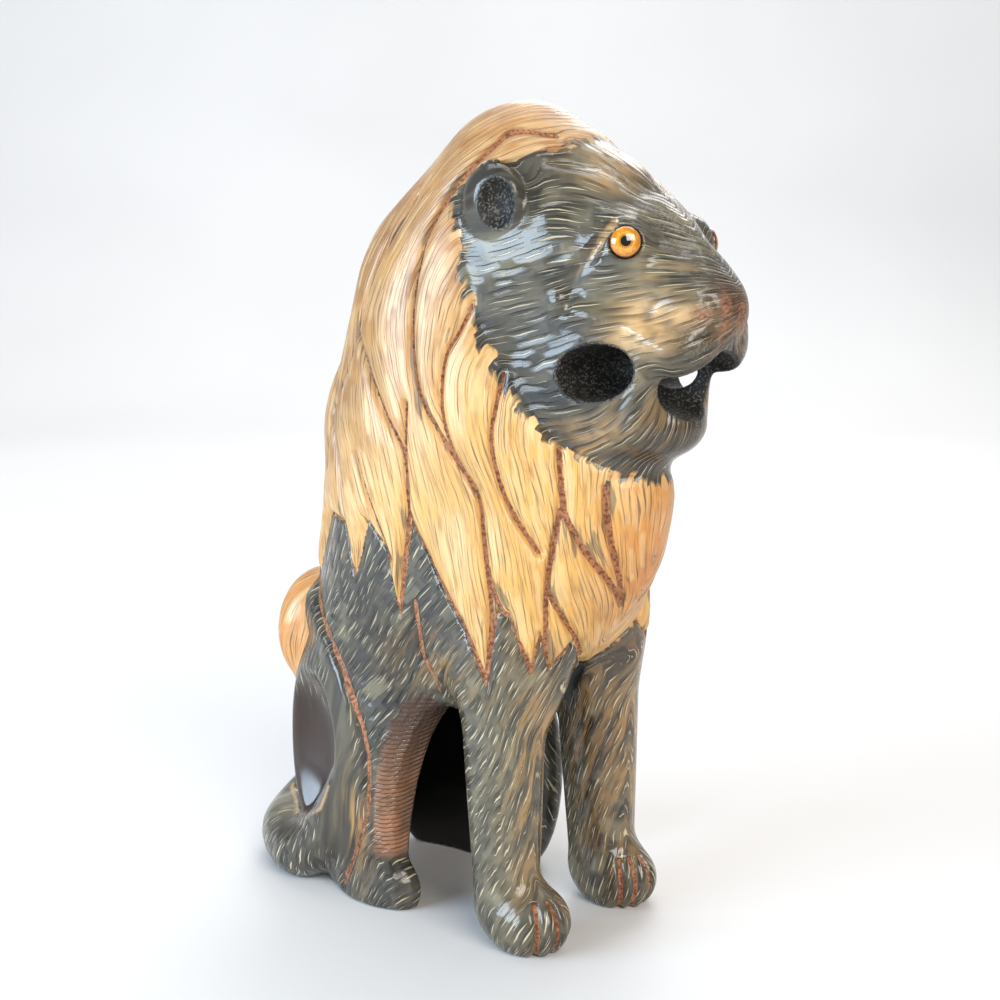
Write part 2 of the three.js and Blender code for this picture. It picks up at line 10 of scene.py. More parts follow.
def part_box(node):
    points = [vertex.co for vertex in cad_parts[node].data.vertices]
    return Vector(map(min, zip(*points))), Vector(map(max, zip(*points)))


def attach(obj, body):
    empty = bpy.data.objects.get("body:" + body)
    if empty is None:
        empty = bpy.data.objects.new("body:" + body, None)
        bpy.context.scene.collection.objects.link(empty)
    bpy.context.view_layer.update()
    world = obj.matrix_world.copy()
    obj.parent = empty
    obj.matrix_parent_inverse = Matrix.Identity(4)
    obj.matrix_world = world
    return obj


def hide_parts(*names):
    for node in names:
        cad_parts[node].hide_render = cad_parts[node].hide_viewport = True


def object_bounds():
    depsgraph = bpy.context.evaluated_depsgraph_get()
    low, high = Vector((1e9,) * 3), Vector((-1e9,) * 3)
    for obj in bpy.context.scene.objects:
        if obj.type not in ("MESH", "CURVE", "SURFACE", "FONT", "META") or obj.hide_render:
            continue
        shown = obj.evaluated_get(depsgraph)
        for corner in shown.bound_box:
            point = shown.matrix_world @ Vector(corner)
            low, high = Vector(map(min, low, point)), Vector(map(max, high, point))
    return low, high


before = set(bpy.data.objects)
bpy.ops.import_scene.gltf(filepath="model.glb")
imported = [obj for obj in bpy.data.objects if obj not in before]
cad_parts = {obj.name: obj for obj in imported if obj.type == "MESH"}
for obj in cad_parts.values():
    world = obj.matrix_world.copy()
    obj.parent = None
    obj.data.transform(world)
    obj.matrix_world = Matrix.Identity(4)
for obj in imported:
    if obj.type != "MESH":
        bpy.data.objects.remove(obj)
CAD_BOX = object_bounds()

GRID = 0.45  # spacing of the grid that the form is traced on
BLOCK = 8  # grid points along a block that is passed over where it is all inside or all outside
BODY_FACES = 190000  # triangles left after thinning
SOLVER_STEPS = 700  # for the stroke coordinates
MM = 1000.0  # millimetres in a metre
FAR = 9.0  # stands for any longer distance to a line
BOUNDS = ((-33.0, -46.0, -9.0), (33.0, 97.0, 189.0))
FRAME_SHIFT = (0.195, 26.312, 0.0)  # from the numbers below to the shared frame
EYE = {
    "radius": 3.1, "dome": 1.5, "back": 1.6, "bevel": 0.2, "gap": 0.25,
    "centre": (15.9, -22.4, 155.3), "out": (0.79, -0.6, 0.12),
}

# Masses: centre, radii, tilt about X in degrees, blend
TORSO = [
    ((0, 13, 151), (22, 26, 33.5), -8, 8),  # crown of the mane
    ((0, 29, 138), (24, 29, 32), -14, 8),  # nape
    ((0, 29, 110), (27, 40, 38), -6, 8),  # shoulders
    ((0, 5.5, 95), (20, 25, 26), -4, 8),  # breast
    ((0, 34, 78), (26, 39, 36), 0, 9),  # ribs
    ((0, 52, 40), (26, 28.5, 42), 0, 9),  # rump
]
MIRRORED = [
    ((15, 49.5, 30), (10.5, 24.5, 36), 0, 6),  # haunch
    ((14, 9, 74), (12, 16, 26), -8, 7),  # shoulder above the foreleg
]
HEAD = [
    ((0, -1, 153.7), (20, 22, 21.5), -15, 6),  # skull
    ((0, -15, 149), (16, 17, 14.5), 0, 6),  # face
    ((0, -28.6, 143), (10.5, 11.6, 9.5), 20, 6),  # nose
    ((0, -20, 117.5), (12, 10, 7.5), 0, 5),  # chin
    ((0, -8.5, 106), (11, 13, 16), 0, 5),  # throat
    ((0, -7.5, 159.4), (8, 15, 8.5), 38, 4),  # ridge of the forehead
]
HEAD_MIRRORED = [
    ((7, -8, 130), (11, 18, 20), 0, 6),  # cheek
    ((6, -29, 135), (7.5, 8, 8), 0, 4),  # whisker pad
    ((12.3, -18.3, 155), (5.2, 7, 6), 0, 3),  # eyelids
    ((20, 8, 164), (4, 7.5, 7.5), 0, 2),  # ear
]
TUFT = ((-6, 74.2, 60), (13, 10.2, 15.5), 0, 3)
HIND_FOOT = ((17.2, 45.5, 4), (6.8, 12.5, 10), 0, 2)
LEFT_HIND = ((22, 33, 25), (6.4, 12, 27), 0, 3)  # the left hind leg reaches further forward
FANG = ((10, -23.6, 136.5), (9.8, -22, 118), 3.8, 3.3, 2.2)
FORELEGS = [
    {
        "top": (-15.5, 9, 66), "wrist": (-16, 7.5, 10), "radii": (10, 7.4),
        "toes": (-15.5, 2), "cuts": (-37, -8, 19),
    },
    {
        "top": (17, 7, 66), "wrist": (17.5, 5, 10), "radii": (10.5, 7.8),
        "toes": (17.5, 1), "cuts": (-46, -24, 1),
    },
]
PAW = {"radii": (8.8, 10.5, 8.5), "height": 6}
TOE_CUT = {"depth": 1.1, "width": 0.8, "from": 3, "to": 14, "top": 12.5}
JOIN = {"foreleg": 5, "paw": 4, "tail": 1.5, "socket": 0.3}  # blends
# Points of the tail's middle line, each with a radius
TAIL = [
    (3, 83, 14, 8), (-6, 84.5, 7.6, 8.2), (-14, 79, 7.2, 8), (-19, 70, 6.9, 7.7), (-20.3, 60, 13, 7),
    (-21.3, 52, 26, 5.6), (-22, 47.5, 40, 4.8), (-21.5, 49, 52, 4.8), (-18.5, 56, 62, 5.2), (-11, 67, 67, 7),
]
TROUGH = ((-29, 65, 35), (12.5, 14.5, 22), 0, 2)  # beside the rump, between the tail's base and its rise
HOLLOWS = [
    ((0, 26, 4), (60, 11.3, 47.5), 0, 4),  # arch between foreleg and hind leg
    ((0, 45, 0), (16, 28, 68), 0, 3),  # inside of the horn under the belly
    ((1, 4, 0), (7.5, 40, 62), 0, 3),  # gap between the forelegs
    ((0, -29, 127), (9.6, 11.5, 7.6), 0, 1),  # front of the mouth
    ((-14, -14.8, 129), (13, 8.2, 5.7), -10, 1),  # corner of the mouth, behind the fang
    ((14, -19.3, 129.5), (13, 5.3, 6), 0, 1),  # the other corner, cut smaller
]
HOLLOWS_MIRRORED = [
    ((24.2, 4.8, 163), (5, 4, 5.4), 0, 1),  # ear
]

# The mane is carved on a chart of degrees round MANE_AXIS from the front, and height.
MANE_AXIS = 26
CHART_RADIUS = 33  # turns degrees into millimetres on the chart
MANE_LIFT = 0.7
RELIEF_REACH = 3  # the carving is worked out this far from the surface
FURROW = {"depth": 1.15, "width": 0.75, "swell": 0.8, "reach": 4}
LOCKS = [
    [(18, 177), (35, 178), (52, 173), (71, 166), (85, 157), (89, 149), (91, 141), (89, 131), (83, 122),
     (72, 115), (62, 108), (54, 102), (51, 89), (48, 82), (41, 73), (36, 66)],
    [(51, 89), (49, 77), (51, 63)],
    [(55, 144), (63, 137), (71, 131), (72, 121), (66, 112), (59, 106), (54, 102)],
    [(43, 129), (47, 121), (49, 114), (46, 106), (41, 99), (33, 91)],
    [(92, 121), (91, 108), (91, 98), (95, 87), (99, 74)],
    [(133, 136), (118, 127), (104, 118), (92, 110), (91, 98), (82, 89), (68, 80), (58, 72), (51, 63)],
    [(124, 109), (117, 100), (109, 92), (103, 86)],
    [(26, 113), (26, 104), (25, 98), (18, 89), (5, 79)],
    [(27, 100), (29, 91), (31, 81), (31, 67)],
    [(15, 105), (15, 98), (12, 89), (6, 80)],
    [(30, 82), (22, 74), (10, 66)],
    [(160, 176), (150, 160), (155, 145), (170, 130), (180, 118)],
    [(180, 150), (165, 135), (150, 122), (140, 108), (128, 82)],
    [(180, 118), (172, 104), (164, 92), (158, 76)],
    [(110, 165), (122, 152), (133, 136), (143, 120), (152, 104)],
]
MANE_EDGE = [
    (0, 62), (12, 66), (20, 71), (30, 66), (33, 74), (36, 65), (43, 78), (47, 78), (51, 62), (60, 74),
    (68, 79), (80, 88), (90, 95), (99, 73), (106, 88), (118, 94), (127, 80), (135, 92), (148, 93), (158, 75),
    (168, 92), (180, 80),
]
THROAT = 106  # below this height the mane runs right round
# Height, and how far back the mane begins there
HAIRLINE = [
    (108, -16), (115, -4), (122, 3), (129, 6), (137, 11), (148, 13), (156, 16), (166, 19),
    (170, 14), (172, 6), (175, -4), (178, -4), (182, 2), (186, 6),
]
# Single lines, cut into the surface or (with a negative depth) raised on it:
# side (0 for both), depth, width, colour, and points, which are given for the +X side
CREASES = [
    # forehead
    (0, 1.7, 2.2, "", [(12, -2, 173), (8.5, -10.8, 171.8), (6.5, -14.4, 170.4), (4.5, -19, 166.5)]),
    # behind the eye
    (0, 1.6, 1.3, "pale", [(15, -19.5, 159), (17.5, -15, 152.5), (18, -11.6, 148.7), (18, -9, 142)]),
    # eyelid fold
    (0, -0.7, 1.6, "", [(19, -5, 161), (17, -9.5, 162.5), (14.5, -15, 162), (15, -20.5, 159.5)]),
    # lip's edge
    (0, -1.0, 2.2, "", [(18, -8, 142.5), (16.6, -14.5, 140.2), (14.6, -22, 138.6), (13, -30, 133.5)]),
    # over the lip
    (0, 0.8, 3.0, "", [(18, -11, 146.5), (16, -18, 144.8), (14, -26, 142.8), (11.5, -32, 141)]),
    # between the eye and the nose
    (0, 1.0, 3.2, "", [(9.5, -25.5, 158.5), (6.5, -29.5, 155.5)]),
    # nostril
    (0, 1.0, 0.9, "copper", [(7.7, -36.8, 143.4), (7.3, -37.6, 141.1), (6.5, -38.1, 139.1)]),
    # wing of the nose
    (0, 0.7, 1.0, "", [(12.7, -31.1, 138.1), (10.6, -34.3, 139.7), (8, -37, 140.5)]),
    # front of the nose
    (0, 0.7, 0.8, "copper", [(4.7, -39.4, 145), (4.1, -39.7, 139.6), (3.9, -38, 135)]),
    # under the nose
    (0, 0.8, 0.8, "", [(0, -42, 141), (0, -40, 136), (0, -36, 131.5)]),
    # behind the foreleg
    (0, 0.9, 0.9, "copper", [
        (25.5, 26, 77), (24.9, 25.4, 70.3), (23.4, 25.5, 64), (21.4, 24.4, 59), (19, 24.5, 54.5),
    ]),
    # ridge of the hind foot
    (0, -0.8, 0.9, "", [(24.3, 41.9, 16.4), (22.7, 38.9, 11.7), (21.5, 36.4, 7), (21.3, 36.2, 1.3)]),
    # in front of the tail
    (-1, 1.2, 1.0, "copper", [
        (16, 66.4, 72.6), (21, 60.4, 68), (24, 54.2, 63.4), (25.2, 49, 57.6), (25.6, 45.4, 50.8),
        (25.8, 42.7, 45.2), (25.8, 40.8, 38.7), (25.7, 40.7, 31.8), (25.4, 41.6, 24.6), (24.8, 44.7, 16.6),
        (23.6, 49.4, 8.5), (22.8, 53, 2),
    ]),
    # inner edge of the tail's ring
    (-1, -0.5, 1.2, "pale", [
        (8.2, 85.3, 15.8), (14.8, 77.2, 15), (20.5, 69.5, 14.6), (25.7, 61.6, 18), (26.9, 55.3, 22.4),
        (26.7, 52.4, 28.7),
    ]),
]


def smin(a, b, k):
    """The lesser of two distances, rounded over k where they meet"""
    h = np.clip(0.5 + 0.5 * (b - a) / k, 0, 1)
    return b + (a - b) * h - k * h * (1 - h)


def step(x, low, high):
    """0 below low, 1 above high, smooth between"""
    t = np.clip((x - low) / (high - low), 0, 1)
    return t * t * (3 - 2 * t)


def ball(x, y, z, centre, radii, tilt=0):
    """Distance to an ellipsoid, tilted about X"""
    dx, dy, dz = x - centre[0], y - centre[1], z - centre[2]
    if tilt:
        s, c = math.sin(math.radians(tilt)), math.cos(math.radians(tilt))
        dy, dz = c * dy + s * dz, -s * dy + c * dz
    near = np.sqrt((dx / radii[0]) ** 2 + (dy / radii[1]) ** 2 + (dz / radii[2]) ** 2)
    steep = np.sqrt((dx / radii[0] ** 2) ** 2 + (dy / radii[1] ** 2) ** 2 + (dz / radii[2] ** 2) ** 2) + 1e-9
    return near * (near - 1) / steep


def to_piece(p, a, b):
    """Distance to the straight piece from a to b, and how far along it the nearest point is"""
    n = range(len(p))
    along = sum((p[i] - a[i]) * (b[i] - a[i]) for i in n)
    t = np.clip(along / sum((b[i] - a[i]) ** 2 for i in n), 0, 1)
    return np.sqrt(sum((p[i] - a[i] - t * (b[i] - a[i])) ** 2 for i in n)), t


def limb(p, a, b, ra, rb):
    """Distance to a round bar whose radius goes from ra to rb"""
    d, t = to_piece(p, a, b)
    return d - (ra + (rb - ra) * t)


def to_line(p, points):
    """Distance to a line through the points"""
    best = np.full(np.shape(p[0]), 1e9)
    for a, b in zip(points[:-1], points[1:]):
        best = np.minimum(best, to_piece(p, a, b)[0])
    return best


def smooth_line(points, steps):
    """A curve through the points, with this many steps between each two"""
    P = [np.array(p, float) for p in points]
    P = [P[0]] + P + [P[-1]]
    made = []
    for p0, p1, p2, p3 in zip(P, P[1:], P[2:], P[3:]):
        for s in range(steps):
            t = s / steps
            bend, twist = 2 * p0 - 5 * p1 + 4 * p2 - p3, -p0 + 3 * p1 - 3 * p2 + p3
            made.append(p1 + 0.5 * t * (p2 - p0 + t * (bend + t * twist)))
    return made + [P[-1]]


TAIL_LINE = smooth_line(TAIL, 3)


def form(x, y, z):
    """Distance to the lion before carving"""
    side = np.sqrt(x * x + 1.0)
    d = ball(x, y, z, *TORSO[0][:3])
    for m in TORSO[1:]:
        d = smin(d, ball(x, y, z, *m[:3]), m[3])
    for m in MIRRORED:
        d = smin(d, ball(side, y, z, *m[:3]), m[3])
    for leg in FORELEGS:
        d = smin(d, limb((x, y, z), leg["top"], leg["wrist"], *leg["radii"]), JOIN["foreleg"])
        d = smin(d, ball(x, y, z, (*leg["toes"], PAW["height"]), PAW["radii"]), JOIN["paw"])
    for m in HEAD:
        d = smin(d, ball(x, y, z, *m[:3]), m[3])
    for m in HEAD_MIRRORED:
        d = smin(d, ball(side, y, z, *m[:3]), m[3])
    d = smin(d, limb((side, y, z), *FANG[:4]), FANG[4])
    d = -smin(-d, ball(x, y, z, *TROUGH[:3]), TROUGH[3])
    d = smin(d, ball(x, y, z, *TUFT[:3]), TUFT[3])
    tail = np.full(x.shape, 1e9)
    for a, b in zip(TAIL_LINE[:-1], TAIL_LINE[1:]):
        tail = np.minimum(tail, limb((x, y, z), a[:3], b[:3], a[3], b[3]))
    d = smin(d, tail, JOIN["tail"])
    for m in HOLLOWS:
        d = -smin(-d, ball(x, y, z, *m[:3]), m[3])
        if m is HOLLOWS[0]:  # the hind feet and the left hind leg stand in the arch
            d = smin(d, ball(side, y, z, *HIND_FOOT[:3]), HIND_FOOT[3])
            d = smin(d, ball(x, y, z, *LEFT_HIND[:3]), LEFT_HIND[3])
    for m in HOLLOWS_MIRRORED:
        d = -smin(-d, ball(side, y, z, *m[:3]), m[3])
    return d


def chart(line):
    """Degrees and heights as places on the chart"""
    return [(math.radians(turn) * CHART_RADIUS, z) for turn, z in line]


LOCK_LINES = [smooth_line(chart(line), 4) for line in LOCKS]
EDGE_LINE = chart(MANE_EDGE)


def mane_place(x, y, z):
    """Turn on the chart, distance inside the mane, and distances to its furrows and its lower edge"""
    turn = np.arctan2(np.abs(x), -(y - MANE_AXIS)) * CHART_RADIUS
    above = z - np.interp(turn, *zip(*EDGE_LINE))
    behind = np.maximum(y - np.interp(z, *zip(*HAIRLINE)), THROAT - z)
    inside = np.minimum(above, behind)
    furrow = np.full(x.shape, FAR)
    near = inside > -4
    place = (turn[near], z[near])
    best = np.full(place[0].shape, FAR)
    for line in LOCK_LINES:
        best = np.minimum(best, to_line(place, line))
    furrow[near] = best
    edge = np.full(x.shape, FAR)
    low = near & (above < 6)
    edge[low] = to_line((turn[low], z[low]), EDGE_LINE)
    return turn, inside, furrow, edge


def crease_depth(x, y, z):
    """Depth of the single lines, and the distance to the nearest one of each colour"""
    depth = np.zeros(x.shape)
    nearest = {colour: np.full(x.shape, FAR) for colour in ("", "copper", "pale")}
    for side, deep, width, colour, line in CREASES:
        d = to_line((np.abs(x), y, z), line)
        if side:
            d = np.where(x * side < 0, FAR, d)
        depth += deep * np.exp(-((d / width) ** 2))
        nearest[colour] = np.minimum(nearest[colour], d)
    return depth, nearest


def toe_depth(x, y, z):
    """Depth of the cuts between the toes, which fan out from the middle of each paw"""
    depth = np.zeros(x.shape)
    for leg in FORELEGS:
        dx, dy = x - leg["toes"][0], y - leg["toes"][1]
        reach = np.hypot(dx, dy)
        here = (reach < TOE_CUT["to"]) & (reach > TOE_CUT["from"]) & (dy < 0) & (z < TOE_CUT["top"])
        for angle in leg["cuts"]:
            off = reach * (np.arctan2(dx, -dy) - math.radians(angle))
            cut = TOE_CUT["depth"] * np.exp(-((off / TOE_CUT["width"]) ** 2))
            depth = np.maximum(depth, np.where(here, cut, 0))
    return depth


def relief(x, y, z):
    """How far the carving stands above the form"""
    _, inside, furrow, edge = mane_place(x, y, z)
    cut = np.minimum(furrow, edge)
    lift = MANE_LIFT * step(inside, -1.5, 1.5)
    swell = FURROW["swell"] * (1 - np.exp(-cut / FURROW["reach"])) * step(inside, 0, 5)
    carved = FURROW["depth"] * np.exp(-((cut / FURROW["width"]) ** 2)) * step(inside, -1.0, 0.2)
    return lift + swell - carved - crease_depth(x, y, z)[0] - toe_depth(x, y, z)


def carved(x, y, z):
    """Distance to the carved lion, with sockets for the eyes and a flat underside"""
    d = form(x, y, z)
    near = np.abs(d) < RELIEF_REACH
    d[near] -= relief(x[near], y[near], z[near])
    for side in (-1, 1):
        c = EYE["centre"]
        reach = np.sqrt((x - side * c[0]) ** 2 + (y - c[1]) ** 2 + (z - c[2]) ** 2)
        d = -smin(-d, reach - EYE["radius"] - EYE["gap"], JOIN["socket"])
    return np.maximum(d, -z)


def trace(distance, low, high, h):
    """The zero surface of a distance, as points and quads, one point in each grid cell that it passes.

    The distance is worked out in full only in the blocks near the surface.
    """
    low = np.array(low)
    blocks = np.ceil((np.array(high) - low) / h / BLOCK).astype(int)
    shape = blocks * BLOCK
    values = np.empty(shape, np.float32)
    centres = [low[i] + h * (BLOCK * np.arange(blocks[i]) + (BLOCK - 1) / 2) for i in range(3)]
    coarse = distance(*np.meshgrid(*centres, indexing="ij"))
    values[:] = np.repeat(np.repeat(np.repeat(coarse, BLOCK, 0), BLOCK, 1), BLOCK, 2)
    near = np.argwhere(np.abs(coarse) < 1.3 * BLOCK * h)
    offsets = np.stack(np.meshgrid(*[np.arange(BLOCK)] * 3, indexing="ij"), -1).reshape(-1, 3)
    for part in np.array_split(near, max(1, len(near) // 1500)):
        index = (part[:, None, :] * BLOCK + offsets[None]).reshape(-1, 3)
        p = low + h * index
        values[tuple(index.T)] = distance(*(p[:, i].copy() for i in range(3)))
    inside = values < 0
    corners = [(a, b, c) for a in (0, 1) for b in (0, 1) for c in (0, 1)]
    n = shape - 1
    count = sum(inside[a:a + n[0], b:b + n[1], c:c + n[2]].astype(np.uint8) for a, b, c in corners)
    cells = np.argwhere((count > 0) & (count < 8))
    number = np.full(n, -1, np.int32)
    number[tuple(cells.T)] = np.arange(len(cells))
    total = np.zeros((len(cells), 3))
    hits = np.zeros(len(cells))
    for a in corners:
        for axis in range(3):
            if a[axis]:
                continue
            b = tuple(v + (i == axis) for i, v in enumerate(a))
            va = values[tuple((cells + a).T)].astype(float)
            vb = values[tuple((cells + b).T)].astype(float)
            crossed = (va < 0) != (vb < 0)
            t = np.where(crossed, va / np.where(crossed, va - vb, 1), 0)
            where = np.array(a, float)[None].repeat(len(cells), 0)
            where[:, axis] += t
            total += where * crossed[:, None]
            hits += crossed
    points = low + h * (cells + total / hits[:, None])
    quads = []
    for axis in range(3):
        u, v = (axis + 1) % 3, (axis + 2) % 3
        take = [slice(1, -1)] * 3
        first, second = list(take), list(take)
        first[axis], second[axis] = slice(0, -1), slice(1, None)
        start = inside[tuple(first)]
        change = np.argwhere(start != inside[tuple(second)])
        change += [0 if i == axis else 1 for i in range(3)]
        ring = []
        for du, dv in ((0, 0), (-1, 0), (-1, -1), (0, -1)):
            c = change.copy()
            c[:, u] += du
            c[:, v] += dv
            ring.append(number[tuple(c.T)])
        quad = np.stack(ring, 1)
        outward = inside[tuple(change.T)]
        quad[~outward] = quad[~outward][:, ::-1]
        quads.append(quad)
    return points, np.concatenate(quads)


def mesh_object(name, points, faces):
    """A smooth-shaded object from points and faces that all have as many corners"""
    mesh = bpy.data.meshes.new(name)
    faces = np.asarray(faces)
    mesh.vertices.add(len(points))
    mesh.vertices.foreach_set("co", np.asarray(points, np.float32).ravel())
    mesh.loops.add(faces.size)
    mesh.loops.foreach_set("vertex_index", faces.ravel().astype(np.int32))
    mesh.polygons.add(len(faces))
    mesh.polygons.foreach_set("loop_start", (np.arange(len(faces)) * faces.shape[1]).astype(np.int32))
    mesh.update(calc_edges=True)
    mesh.validate()
    mesh.shade_smooth()
    obj = bpy.data.objects.new(name, mesh)
    bpy.context.scene.collection.objects.link(obj)
    return obj


def apply_modifiers(obj):
    """Keep the mesh that the modifiers make, and drop the modifiers"""
    graph = bpy.context.evaluated_depsgraph_get()
    mesh = bpy.data.meshes.new_from_object(obj.evaluated_get(graph))
    obj.modifiers.clear()
    obj.data = mesh


def coords(mesh):
    """The places of the mesh's points"""
    co = np.empty(len(mesh.vertices) * 3, np.float32)
    mesh.vertices.foreach_get("co", co)
    return co.reshape(-1, 3).astype(float)


# Which way the carver's strokes run: place and direction, on the +X side
STROKES = [
    ((2, -12, 170), (0, 1, 0.55)), ((3, -28, 156), (0.6, 1, 0.5)), ((8, -30, 150), (0.3, 1, -0.05)),
    ((15, -20, 147), (0.3, 1, -0.1)), ((15, -12, 162), (0.2, 1, 0.25)), ((19, -2, 168), (0.2, 1, -0.1)),
    ((21, -4, 152), (0.1, 1, -0.18)), ((20, -6, 140), (0.1, 1, -0.18)), ((19, -8, 130), (0.1, 1, -0.2)),
    ((18, -2, 120), (0.1, 1, -0.3)), ((17, -12, 120), (0.1, 1, -0.5)), ((15, -17, 116), (0.1, 0.8, -0.8)),
    ((12, -24, 117), (0, 0.4, -1)), ((6, -29, 118), (0, 0.2, -1)), ((0, -30, 118), (0, 0.1, -1)),
    ((6, -22, 111), (0, 0.8, -0.5)), ((13, -29, 134), (0.3, 1, -0.7)), ((8, -36, 136), (0.3, 0.7, -0.8)),
    ((25, 8, 70), (0, 1, -1)), ((25, 8, 40), (0, 1.1, -1)), ((25, 7, 15), (0, 1.1, -1)),
    ((14, -3, 60), (0.7, 0.2, -1)), ((14, -2, 30), (0.7, 0.2, -1)), ((16, -6, 12), (0.4, -0.2, -1)),
    ((22, 0, 8), (0.1, 0.8, -1)), ((27, 30, 75), (0, 0.8, -1)), ((27, 50, 75), (0, 0.6, -1)),
    ((26, 35, 58), (0, 1, -1)), ((26, 38, 40), (0, 1, -1)), ((24, 45, 10), (0, 1, -1)),
    ((26, 50, 45), (0, 0.1, -1)), ((26, 50, 25), (0, 0.3, -1)),
    ((24, 62, 40), (0, 0.1, -1)), ((0, 78, 60), (0, 0.15, -1)), ((0, 80, 30), (0, 0, -1)),
    ((8, 36, 35), (1, 0.2, 0)), ((20, 37, 30), (1, 0.3, 0)), ((20, 38, 12), (1, 0.3, 0)),
]


def both(centre, radii, strength):
    """The same spot on either side"""
    return [(centre, radii, strength), ((-centre[0], *centre[1:]), radii, strength)]


# Spots of each colour or surface: centre, radii, strength. The photographed side is -X.
FIELDS = {
    "ochre": [
        ((8, -15, 168), (5, 7, 3), 0.8), ((15, -10, 165), (5, 6, 3), 0.6),
        *both((12, -26, 119), (9, 9, 8), 0.4), ((-10, 0, 36), (5, 8, 26), 0.9),
        ((15, -1, 42), (10, 9, 32), 0.9), ((-9, -6, 12), (4, 6, 8), 0.6), ((-26, 45, 18), (3, 3, 12), 0.9),
        ((0, -38, 139), (8, 6, 6), 0.5), *both((14, -9, 111), (7, 8, 6), 0.8),
        *both((14, -31, 149), (6, 7, 3), 0.7), *both((24, 20, 62), (5, 14, 8), 0.5),
        ((-16, -2, 40), (9, 4, 34), 0.8),
    ],
    "umber": [
        ((18, -2, 166), (6, 8, 5), 0.8), ((12, -6, 171), (6, 7, 3), 0.6),
        *both((17, -16, 154), (3, 4.5, 4), 0.9), ((0, -42, 142), (11, 8, 9), 1.1),
        ((-20, 68, 32), (8, 12, 19), 1.3), *both((6, -17, 169), (5, 6, 2.5), 0.8),
        ((0, -24, 112), (14, 10, 7), 0.8), ((12, 0, 40), (4, 9, 32), 0.6),
    ],
    "olive": [
        *both((13, -22, 149), (9, 14, 7), 1.2), ((0, -27, 158), (9, 10, 8), 1.2),
        *both((12, -24, 122), (8, 9, 8), 0.45), ((-26, 50, 32), (5, 7, 24), 0.55),
        *both((20, 2, 150), (8, 8, 14), 0.5), ((-20, 3, 36), (10, 12, 44), 0.9),
        ((20, 3, 36), (10, 12, 44), 0.4), ((0, -12, 168), (16, 12, 8), 0.8),
        ((-12, 80, 14), (10, 10, 5), 1.2),
    ],
    "pale": [
        *both((14.5, -25.5, 137), (4, 7, 3.6), 1.3), *both((11, -31, 141), (4, 5, 3), 1.0),
        *both((12.8, -25.5, 140.5), (4, 6, 4), 1.4), *both((14, -16, 117), (5, 6, 3), 0.7),
        *both((9, -14, 168), (5, 9, 3), 0.6), ((4, -12, 172), (9, 8, 4), 0.7),
        ((-4, -12, 172), (9, 8, 4), 0.6),
    ],
    "rust": [
        *both((4.4, -39.5, 140.5), (1.5, 3, 6), 1.0), ((0.5, -41, 141), (2.5, 3, 6), 0.9),
        *both((8.5, -36.5, 141), (2.2, 3, 1.6), 0.9),
    ],
    "amber": [
        ((0, -22, 84), (15, 14, 26), 1.0), ((-8, 76, 62), (18, 16, 18), 1.2),
    ],
    # These spots are painted shade: darker on the flanks above the arch, under the chin and the mouth, behind
    # the cheeks and low on the hind feet.
    "painted_shade": [
        *both((25, 36, 66), (9, 20, 22), 1.2), *both((19, 2, 128), (6, 10, 14), 0.8),
        *both((17, -13, 119), (6, 9, 6), 1.1), *both((24, 44, 10), (6, 10, 10), 0.6),
        ((0, -26, 118), (15, 11, 9), 0.9),
    ],
    "speckled": [
        ((0, -25, 159), (7, 6, 7), 1.2), *both((9, -35, 136), (5, 5, 4), 0.6),
    ],
    "sleek": [
        ((-26, 51, 32), (5, 7, 30), 1.6), ((-20, 66, 12), (11, 16, 7), 1.1),
        ((-10, 84, 14), (16, 12, 7), 1.1), ((0, -36, 141), (13, 9, 9), 0.9),
        *both((21, 8, 164), (8, 10, 9), 1.5), ((-20, 68, 32), (8, 13, 20), 1.4),
        ((-6, 75, 60), (16, 14, 18), 1.2), *both((14, -27, 138), (5, 6, 3), 0.9),
        ((0, -21, 160), (6, 6, 6), 0.9), *both((14, -24, 149), (6, 9, 5), 0.6),
    ],
}


def fields(x, y, z, spots):
    """Strength of the strongest spot at each point, from 0 to 1"""
    total = np.zeros(x.shape)
    for centre, radii, strength in spots:
        k = sum(((p - c) / r) ** 2 for p, c, r in zip((x, y, z), centre, radii))
        total = np.maximum(total, strength * np.exp(-k))
    return np.clip(total, 0, 1)


def unit(v):
    return v / (np.linalg.norm(v, axis=-1, keepdims=True) + 1e-9)


# The hair runs straight down at the front and at the back of the mane.
FLOW_LINES = LOCK_LINES + [chart([(0, 108), (0, 62)]), chart([(180, 176), (180, 80)])]


def stroke_directions(p, normals, mane):
    """Unit vectors along the hair at each point, in the surface"""
    x, y, z = p.T
    sign = np.where(x < 0, -1.0, 1.0)
    near = np.stack([np.abs(x), y, z], 1)
    body = np.zeros(p.shape)
    for place, way in STROKES:
        w = 1 / (((near - place) ** 2).sum(1) + 15) ** 2
        body += w[:, None] * unit(np.array(way, float))
    turn = np.arctan2(np.abs(x), -(y - MANE_AXIS))
    here = (turn * CHART_RADIUS, z)
    flow = np.zeros((len(p), 2))
    for line in FLOW_LINES:
        for a, b in zip(line[:-1], line[1:]):
            a, b = np.array(a), np.array(b)
            d = to_piece(here, a, b)[0]
            w = np.linalg.norm(b - a) / (d * d + 6) ** 1.5
            flow += w[:, None] * unit(b - a)
    flow = unit(flow)
    lock = np.stack([np.cos(turn) * flow[:, 0], np.sin(turn) * flow[:, 0], flow[:, 1]], 1)
    way = unit(body) * (1 - mane[:, None]) + lock * mane[:, None]
    way[:, 0] *= np.where((z < 65) & (y < 8), -1.0, sign)  # the strokes lean the same way on both forelegs
    way -= normals * (way * normals).sum(1, keepdims=True)
    return unit(way)


